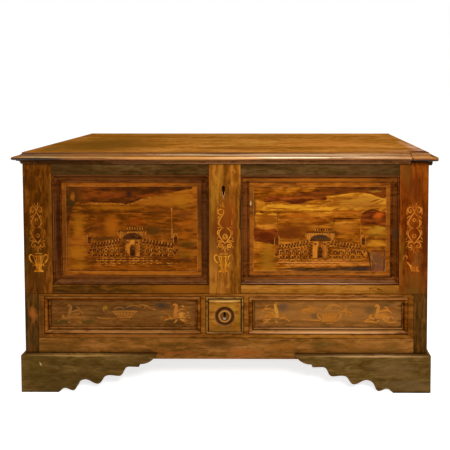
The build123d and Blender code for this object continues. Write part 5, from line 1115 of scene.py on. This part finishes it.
def gate_light():
    """The light pieces: body, lintel, merlons, arcades, towers; returns outlines and lines."""
    areas = [[(-GATE_HALF, 0), (-11, 0), (-11, 33), (-8, 41), (0, 44), (8, 41), (11, 33), (11, 0),
              (GATE_HALF, 0), (GATE_HALF, 57), (12, 60), (-12, 60), (-GATE_HALF, 57)],
             [(-54, 90), (-55, 80), (-48, 68), (-39, 65), (-34, 73), (-23, 81), (-8, 85), (8, 85),
              (23, 81), (34, 73), (39, 65), (48, 68), (54, 80), (52, 90)]]
    areas += [block_from(x, 97, 1.8, 9) for x in range(-18, 44, 9)]
    lines = []
    for side in (-1, 1):
        for number in range(MERLONS):
            x = side * (WING_START + MERLON_PITCH * number)
            top = WALL_TOP - WING_FALL * number
            areas.append(block_from(x, top - 7, 2.4, 7))
            areas.append(block_from(x + 4, top - 17, 2.0, 5))
        for number in range(ARCADES):
            x = side * (ARCADE_START + ARCADE_PITCH * number)
            lines += [[(x - 8, 14, 3), (x - 8, 24, 3), (x, 31, 3.4), (x + 8, 24, 3),
                       (x + 8, 14, 3)],
                      [(x - 9, 0, 3), (x - 9, 6, 3), (x - 4, 9, 2.4), (x + 2, 4, 2.4)]]
            areas.append(block_from(x, 15, 2.2, 6))
        lines.append([(side * (GATE_HALF + 14), 42, 3), (side * 90, 34, 2.6),
                      (side * 150, 25, 2.6)])
        x = side * TOWER_X
        lines += [[(x - 9, 0, 2.6), (x - 9, 34, 2.6)], [(x + 9, 0, 2.6), (x + 9, 34, 2.6)],
                  [(x - 9, 46, 3.4), (x - 9, 66, 3.4), (x - 6, 78, 3.4), (x, 84, 3.4),
                   (x + 6, 78, 3.4), (x + 9, 66, 3.4), (x + 9, 46, 3.4)]]
    return areas, lines


def gate_dark():
    """The dark pieces: door, eyes, the arch's shadow, chequered quoins, gaps between merlons."""
    areas = [[(-8, 0), (8, 0), (8, 30), (5, 37), (0, 40), (-5, 37), (-8, 30)],
             [(-37, 60), (-33, 71), (-22, 79), (-8, 83), (8, 83), (22, 79), (33, 71), (37, 60),
              (25, 61), (-25, 61)], round_dot(-17, 50, 4), round_dot(17, 50, 4)]
    areas += [block_from(x, 89, 2.4, 6) for x in range(-46, 46, 9)]
    areas += [block_from(x, 97, 2.0, 9) for x in range(-13, 44, 9)]
    lines = []
    for side in (-1, 1):
        for row in range(QUOINS):
            x = side * (GATE_HALF + (3.5 if row % 2 else 9.5))
            areas.append(block_from(x, 5.8 * row, 3, 5.2))
        for number in range(MERLONS):
            x = side * (WING_START + MERLON_PITCH * (number + 0.5))
            top = WALL_TOP - WING_FALL * number
            areas.append(block_from(x, top - 9, 2.8, 8))
            areas.append(block_from(x - 3, top - 18, 3.2, 7))
            areas.append(block_from(x + 1, top - 27, 2.4, 5))
        for number in range(ARCADES):
            x = side * (ARCADE_START + ARCADE_PITCH * number)
            lines.append([(x - 4.5, 15, 3.4), (x - 4.5, 22, 3.4), (x, 26, 3.4), (x + 4.5, 22, 3.4),
                          (x + 4.5, 15, 3.4)])
            areas += [block_from(x - 4, 0, 3, 5), block_from(x + 5, 0, 2.4, 7),
                      block_from(x + 10.5, 12, 2.2, 8)]
        x = side * TOWER_X
        areas += [block_from(x, 48, 5, 22), block_from(x - 3, 8, 3, 7), block_from(x + 4, 18, 3, 7)]
    return areas, lines


def flagpole(x):
    """A pole with a ball at its top and a pennant."""
    return [[(x, 66, 3.4), (x, 168, 2.6)], ring(x, 172, 3, 3), [(x + 3, 160, 3), (x + 12, 152, 1)]]


def moat(rows):
    """Wavy lines below the gate; rows gives each one's level, reach and width."""
    lines = []
    for level, left, right, width in rows:
        steps = int((right - left) / WAVE_LENGTH * 4)
        lines.append([(left + (right - left) * i / steps,
                       level + WAVE_HEIGHT * math.sin(math.pi * i / 2), width)
                      for i in range(steps + 1)])
    return lines


MOAT_LIGHT = ((-8, -150, 60, 3.4), (-17, -160, 90, 4.4), (-26, -130, 166, 4.0))
MOAT_DARK = ((-4, -150, 150, 2.4), (-13, -120, 150, 2.4), (-22, -150, 70, 2.4))
MOAT_DASHES = [[(x, -35, 1.2), (x + 7, -34, 3.2), (x + 15, -35, 1.2)] for x in range(-160, 140, 29)]
GATES = {  # where the gate stands, where its flagpole is, and the light wood
    "left": (-338.0, 487.0, 143.0, PEAR_LEFT), "right": (340.0, 482.0, -154.0, PEAR_RIGHT)}
for hand, (x, z, pole, light) in GATES.items():
    areas, lines = gate_light()
    lines += flagpole(pole) + moat(MOAT_LIGHT)
    lines += MOAT_DASHES if hand == "left" else flipped(flagpole(pole + 8))
    inlay(f"gate_light_{hand}", ON_PANEL, light, proud=0.3, lines=placed(lines, x, z),
          areas=placed(areas, x, z))
    areas, lines = gate_dark()
    inlay(f"gate_dark_{hand}", ON_PANEL, BOG_OAK, proud=0.34,
          lines=placed(lines + moat(MOAT_DARK), x, z), areas=placed(areas, x, z))
print("gates cut")

# %% [markdown]
# ## Scrolls and urns on the stiles
# Each stile has a candelabrum of scrolls over a two-handled urn, the oldest stock of ornament there
# is. It is drawn for one hand and flipped for the other, as an inlay worker turns a paper pattern.
# On the middle stile the upper right half is lost, and on the right stile most of the urn is.

# %% Candelabrum
STEM = 4.8  # width of a scroll line, mm
LEAF = 7.0  # width of a leaf at its middle


def both_hands(half):
    """Lines for the right hand and their mirror image."""
    return half + flipped(half)


# the right half from the waist up: an open heart, a volute and leaves
UPPER_SCROLL = [
    [(2, 170, 1), (7, 178, 4.6), (9, 187, 1)], [(1, 168, 1), (12, 172, 3.4), (18, 180, 1)],
    [(-7, 140, 2), (0, 152, STEM), (4, 163, STEM), (11, 171, STEM), (20, 169, STEM),
     (24, 160, STEM), (20, 151, STEM), (12, 151, STEM), (10, 158, 3), (15, 161, 4)],
    [(26, 142, 1), (28, 156, LEAF), (25, 170, 1)], [(14, 140, 1), (22, 136, LEAF), (27, 128, 1)],
    [(5, 146, 2), (13, 134, STEM), (20, 122, STEM), (21, 108, STEM), (14, 97, STEM), (5, 93, 2)],
    [(22, 124, 1), (27, 114, LEAF), (22, 103, 1)], [(14, 98, 1), (22, 94, 4), (28, 96, 1)],
]
# the right half below the waist: a heart, a volute and leaves
LOWER_SCROLL = [
    [(6, 96, 2), (15, 90, STEM), (22, 80, STEM), (22, 68, STEM), (15, 56, STEM), (5, 44, STEM),
     (-3, 36, 2)],
    [(23, 90, 1), (29, 80, LEAF), (26, 68, 1)], [(22, 64, 1), (28, 58, 4.6), (30, 50, 1)],
    [(0, 40, 2), (7, 44, STEM), (16, 44, STEM), (23, 37, STEM), (22, 26, STEM), (13, 23, STEM),
     (8, 29, STEM), (12, 35, 3), (15, 32, 3)],
    [(13, 48, 1), (22, 49, LEAF), (31, 44, 1)], [(24, 30, 1), (30, 26, 4.6), (27, 20, 1)],
    [(2, 30, 1), (6, 19, 4.6), (14, 13, 1)], [(0, 28, 1), (1, 14, 4), (4, 2, 1)],
]
RINGS = [ring(0, 124, 5.0, 3.6), ring(0, 66, 6.2, 4.0), [(-1, 66, 3), (1, 66, 3)]]
WHOLE = both_hands(UPPER_SCROLL) + both_hands(LOWER_SCROLL) + RINGS
CROWDED = (placed(both_hands(UPPER_SCROLL) + RINGS[:1], -4, 0, 0.82)  # its upper half is narrow
           + both_hands(LOWER_SCROLL) + RINGS[1:])
WORN = (flipped(UPPER_SCROLL[:2] + UPPER_SCROLL[3:])  # little is left of its upper right
        + UPPER_SCROLL[3:4] + UPPER_SCROLL[6:] + both_hands(LOWER_SCROLL) + RINGS[1:]
        + [ring(-14, 152, 10, 4.6), [(-14, 151, 5), (-13, 153, 5)], ring(0, 62, 8, 4.4),
           [(-4, 145, 2), (-8, 134, STEM), (-24, 128, 2)], ring(-12, 30, 5, 4), ring(14, 30, 5, 4)])

# %% Urn
URN_FOOT = [(-21, 0), (21, 0), (19, 4), (12, 8), (10, 14), (13, 22), (17, 29),
            (-17, 29), (-13, 22), (-10, 14), (-12, 8), (-19, 4)]


def urn_lines():
    """Gadroons, rim and handles of the urn."""
    lines = [[(4 * k, 24, 3.4), (6.6 * k, 37, 4.8), (9.2 * k, 50, 4.8), (9.6 * k, 58, 3)]
             for k in (-2, -1, 0, 1, 2)]
    lines += [[(-20, 58, 3.6), (0, 57, 4), (20, 58, 3.6)], [(-17, 66, 3), (17, 66, 3)]]
    for hand in (-1, 1):
        lines.append([(hand * x, z, width) for x, z, width in (
            (19, 50, 2), (22, 60, 4), (32, 64, 4.8), (39, 56, 4.8), (36, 44, 4.8), (24, 32, 4.6),
            (16, 26, 3), (22, 21, 5), (27, 24, 2))])
    return lines


# %% Lay them on the stiles
ON_FRAME = (BODY_FRONT, "case", "walnut")
STILE_X = {"left": -674.0, "middle": -2.0, "right": 675.0}
URN_X = {"left": -672.0, "middle": -7.0}
SCROLL_Z = 500.0
URN_Z = 434.0
URN_WIDE = 0.88  # they are cut a little narrower than they are drawn
for place, light, lines in (("left", BOXWOOD_LEFT, CROWDED), ("middle", BOXWOOD_MIDDLE, WORN),
                            ("right", BOXWOOD_RIGHT, WHOLE)):
    inlay(f"scrolls_{place}", ON_FRAME, light, lines=placed(lines, STILE_X[place], SCROLL_Z))
for place in ("left", "middle"):
    inlay(f"urn_{place}", ON_FRAME, BOXWOOD_URN,
          lines=placed(urn_lines(), URN_X[place], URN_Z, URN_WIDE),
          areas=placed([URN_FOOT], URN_X[place], URN_Z, URN_WIDE))
URN_HOOK = [(-38, 44, 3), (-39, 54, 5), (-32, 62, 5), (-24, 58, 5), (-25, 50, 3)]
URN_SHOULDER = [(-27, 39, 4), (-21, 33, 11), (-15, 26, 5)]
URN_SCRAP = [(-18, 30), (-12, 14), (-9, 3), (20, 3), (16, 12), (14, 26), (8, 18), (3, 27), (-3, 17),
             (-9, 27)]
inlay("urn_right_remains", ON_FRAME, BOXWOOD_RIGHT,
      lines=placed([URN_HOOK, URN_SHOULDER], STILE_X["right"], URN_Z),
      areas=placed([URN_SCRAP], STILE_X["right"], URN_Z))
print("stile inlay cut")

# %% [markdown]
# ## Birds, bowls and tendrils on the drawer
# The drawer's two fields have a gadrooned bowl between long-necked birds, joined by tendrils. They
# are nearly worn away, so the lines are broad, soft in colour and broken. As pieces of their own
# they ride on the drawer and slide out with it.

# %% Motifs of the drawer
ON_DRAWER = (BODY_FRONT + 10.0, "drawer", "walnut_drawer")
WORN_SOFT = 1.75  # how many times as wide the worn lines look

# a long-necked bird with a leafy tail; its breast is at the origin, its tail to the left
BIRD = [
    [(6, -4, 7), (2, 12, 8), (-1, 28, 8), (-5, 40, 7), (-2, 49, 6), (7, 50, 4), (10, 43, 2)],
    [(4, 0, 6), (-12, 5, 10), (-32, 4, 9), (-46, -3, 4)],
    [(-6, 22, 2), (-22, 28, 6), (-38, 30, 5), (-50, 24, 4), (-55, 13, 2)],
    [(-10, 12, 2), (-26, 17, 6), (-42, 14, 3)], [(-40, 33, 2), (-36, 41, 5), (-26, 44, 2)],
    [(-46, 6, 2), (-56, 4, 5), (-62, -4, 2)], [(-20, -6, 3), (-32, -15, 6), (-48, -23, 2)],
    [(-4, -10, 3), (-2, -20, 5), (8, -22, 2)], [(10, -6, 3), (24, -4, 7), (31, 5, 6), (23, 10, 4)],
    [(30, -6, 2), (42, -10, 5), (50, -18, 2)], [(-50, -14, 2), (-40, -10, 4), (-28, -10, 1)],
]


def bolder(lines, factor):
    """The same lines, each so many times as wide."""
    return [[(x, z, factor * width) for x, z, width in line] for line in lines]


def bowl(half, height, lobes):
    """A gadrooned bowl with its foot at the origin."""
    lines = [[(-half, height, 3), (0, height + 2, 4), (half, height, 3)],
             [(-0.5 * half, -4, 2), (0, -1, 4), (0.5 * half, -4, 2)]]
    for lobe in range(-lobes, lobes + 1):
        share = lobe / (lobes + 0.6)
        lines.append([(0.4 * half * share, 4, 2.4), (0.8 * half * share, 0.5 * height, 6.4),
                      (half * share, height - 1, 4)])
    return lines


def bowl_handles(half, height):
    """A looped handle on each side of a bowl."""
    return [[(hand * half * x, height * z, 4.4) for x, z in (
        (0.5, 0.15), (0.9, 0.35), (1.35, 0.75), (1.3, 1.15), (0.95, 1.05))] for hand in (-1, 1)]


# a stem that ends in a scroll, with two leaves, running to the right
TENDRIL = [[(0, 0, 2), (14, 10, 4), (34, 12, 4), (50, 4, 3)], volute(54, -4, 9, 120, 1.0, -1, 4),
           [(16, 11, 2), (24, 21, 5), (38, 23, 2)], [(30, 12, 2), (36, 2, 5), (32, -8, 2)]]


# %% Drawer inlay
PLUME_LEFT = [[(-40, 4, 1), (-30, 12, 2), (-10, 12, 2), (0, 6, 1)],
              [(4, 10, 1), (24, 20, 2.4), (44, 18, 2), (60, 12, 1)],
              [(52, 20, 1), (66, 22, 2.4), (78, 14, 2), (70, 8, 1)]]
PLUME_RIGHT = [[(-14, 0, 2), (-10, 16, 4), (8, 26, 5), (34, 24, 4), (48, 14, 2)],
               ring(2, 12, 6, 3.6), [(-20, 6, 2), (-44, 14, 4), (-78, 22, 2)],
               [(10, 4, 2), (28, 10, 5), (46, 2, 2)], [(56, 2, 2), (64, 12, 5), (60, 22, 2)],
               [(-50, -4, 2), (-60, 2, 7), (-72, 4, 3)]]
left_lines = (placed(flipped(BIRD), -568, 262, 0.9, 0.9)
              + placed(flipped(BIRD), -184, 264, 0.85, 0.95)
              + placed(bowl(46, 28, 3), -368, 256) + placed(PLUME_LEFT, -368, 288)
              + [[(-442, 282, 1), (-450, 296, 4), (-438, 306, 2.4), (-428, 300, 1)]]
              + [[(-296, 308, 2), (-280, 300, 3.4), (-258, 290, 2)],
                 [(-240, 262, 2), (-226, 268, 7), (-206, 256, 3)],
                 [(-236, 284, 2), (-220, 282, 4), (-206, 272, 2)],
                 [(-470, 262, 2), (-440, 256, 4), (-400, 258, 2)]])
right_lines = (placed(BIRD, 182, 266) + placed(flipped(BIRD), 548, 264, 0.95, 0.9)
               + placed(bowl(32, 32, 2), 374, 244) + placed(bowl_handles(32, 32), 374, 244)
               + placed(PLUME_RIGHT, 372, 284)
               + placed(TENDRIL, 412, 278, 0.7, 0.9) + placed(flipped(TENDRIL), 326, 288, 0.8, 0.8)
               + [[(500, 246, 2), (520, 253, 8), (540, 246, 3)],
                  [(586, 246, 2), (606, 250, 7), (624, 242, 2)],
                  [(270, 258, 2), (300, 254, 4), (340, 252, 2)]])
for hand, lines in (("left", left_lines), ("right", right_lines)):
    inlay(f"birds_and_bowl_{hand}", ON_DRAWER, PEAR_DRAWER, lines=bolder(lines, WORN_SOFT))
print("drawer inlay cut")

# %% [markdown]
# ## Dirt, worm and knocks
# Dirt settles where a broom can't reach: in the joints of the frame and round the drawer's
# mouldings, whose quirks also get strips of dust and painted shade. The dark corners of the wood's
# material, dust and painted shade, fade out within a few millimetres, so these joints get strips
# of packed dust as well, and a strip of painted shadow lies under the lid's corner patch. Woodworm
# left its holes in one rail, and a few chips show bare wood. Dark strips of painted shade make the
# key hole in the front look wider, with bare wood and a painted glint below it.

# %% Dirt in the frame's joints, and dust and painted shade round the drawer's mouldings
# strips of dust and painted shade in the drawer mouldings' joint and quirks: inset, depth and width
# in mm
DRAWER_DUST_AND_SHADE = ((-0.4, 0.2, 1.4), (12.8, 4.4, 1.4), (19.2, 9.8, 1.6))
for hand in ("left", "right"):
    dust_and_shade_lines(f"drawer_dust_{hand}", span(*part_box(f"drawer_moulding_{hand}")), "drawer",
               DRAWER_DUST_AND_SHADE)
BLOCK_DUST = ((-0.4, 0.2, 2.0),)
dust_and_shade_lines("block_dust", span(*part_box("drawer_block_moulding")), "drawer", BLOCK_DUST)

STILE_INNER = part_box("stile_left")[1][0] / MM
CENTRE_LEFT, CENTRE_RIGHT, _, BODY_TOP = span(*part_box("stile_center"))
RAIL_LOW, RAIL_HIGH = (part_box("rail_mid_left")[corner][2] / MM for corner in (0, 1))
TOP_RAIL_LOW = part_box("rail_top_left")[0][2] / MM
DRAWER_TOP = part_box("drawer_border")[1][2] / MM
FOOT_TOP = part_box("foot_front_left")[1][2] / MM
POST_INNER = 677  # mm from the middle to the inner side of a short post
BODY_END = 724  # mm from the middle to just inside the end of the front
JOINT_WIDTH = 1.6
joints = []
for x in (STILE_INNER, CENTRE_LEFT, CENTRE_RIGHT, -STILE_INNER):
    for low, high in ((RAIL_LOW, RAIL_HIGH), (TOP_RAIL_LOW, BODY_TOP)):
        joints.append([(x, low, JOINT_WIDTH), (x, high, JOINT_WIDTH)])
for side in (-1, 1):
    joints.append([(side * x, RAIL_LOW - 1, JOINT_WIDTH) for x in (BODY_END, POST_INNER)])
joints.append([(x, DRAWER_TOP + 2, width) for x, width in ((-674, 2.2), (-300, 2.4), (-60, 1.6))])
# Dust along the top of the feet; the last strip is painted shadow under the lid's corner patch.
corners = [[(-720, FOOT_TOP + 2, 3.4), (-250, FOOT_TOP + 2, 3.0)],
           [(250, FOOT_TOP + 2, 2.4), (720, FOOT_TOP + 2, 3.0)],
           [(660, BODY_TOP - 8, 7.0), (722, BODY_TOP - 8, 6.0)]]
IN_JOINTS = (BODY_FRONT + 0.5, "case", "walnut")
inlay("ledge_dirt_and_patch_shadow", IN_JOINTS, PACKED_DUST_AND_SHADE, lines=corners, proud=1.4, order=STRAIGHT)
inlay("frame_joint_dirt", IN_JOINTS, PACKED_DUST_AND_SHADE, lines=joints, proud=0.7, order=STRAIGHT)
print(len(joints), "joints filled with dirt")

# %% Worm holes, chips, and painted shade, bare wood and a painted glint round the key hole
WORM_AREA = (512.0, 572.0, 366.0, 383.0)  # left, right, bottom and top in mm
WORM_HOLES = 18
WORM_SEED = 7
dice = random.Random(WORM_SEED)
holes = [round_dot(dice.uniform(*WORM_AREA[:2]), dice.uniform(*WORM_AREA[2:]),
                   dice.uniform(1.0, 2.2), 7) for _ in range(WORM_HOLES)]
inlay("worm_holes", ON_FRAME, PACKED_DUST_AND_SHADE, areas=holes, proud=0.12)
ON_FOOT = (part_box("foot_front_left")[0][1] / MM, "case", "walnut_foot")
inlay("chip_panel", ON_PANEL, BARE_WOOD_AND_GLINT, proud=0.4,
      areas=[[(87, 674), (91, 672), (93, 680), (92, 689), (89, 690), (86, 682)]])
inlay("chip_foot", ON_FOOT, BARE_WOOD_AND_GLINT, proud=0.12,
      areas=[[(-670, 111), (-664, 108), (-661, 102), (-663, 97), (-667, 100), (-668, 105)]])
# Dark strips of painted shade beside the key hole in the middle stile make it look wider.
inlay("keyhole_shade_strips", ON_FRAME, KEYHOLE_SHADE, proud=0.12,
      lines=[[(-11.2, 727, 3), (-12, 742, 3.4)], [(-2.8, 727, 3), (-2.2, 742, 3.4)],
             [(-11, 745, 2.4), (-7, 746, 3), (-3, 745, 2.4)]])
# Bare wood beside the key hole's lower slot, with a painted glint.
inlay("keyhole_bare_wood_and_glint", ON_FRAME, BARE_WOOD_AND_GLINT, proud=0.12,
      lines=[[(-3, 712, 1.2), (-2.8, 724, 1.8)], [(-11, 724, 1.6), (-10.8, 712, 1.2)],
             [(-10, 710.6, 1.6), (-4, 710.6, 1.6)], [(-7, 709, 2), (-7, 700, 1)]])
print("dirt, holes and chips made")

# %% Bounds of the objects that are shown
low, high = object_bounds()
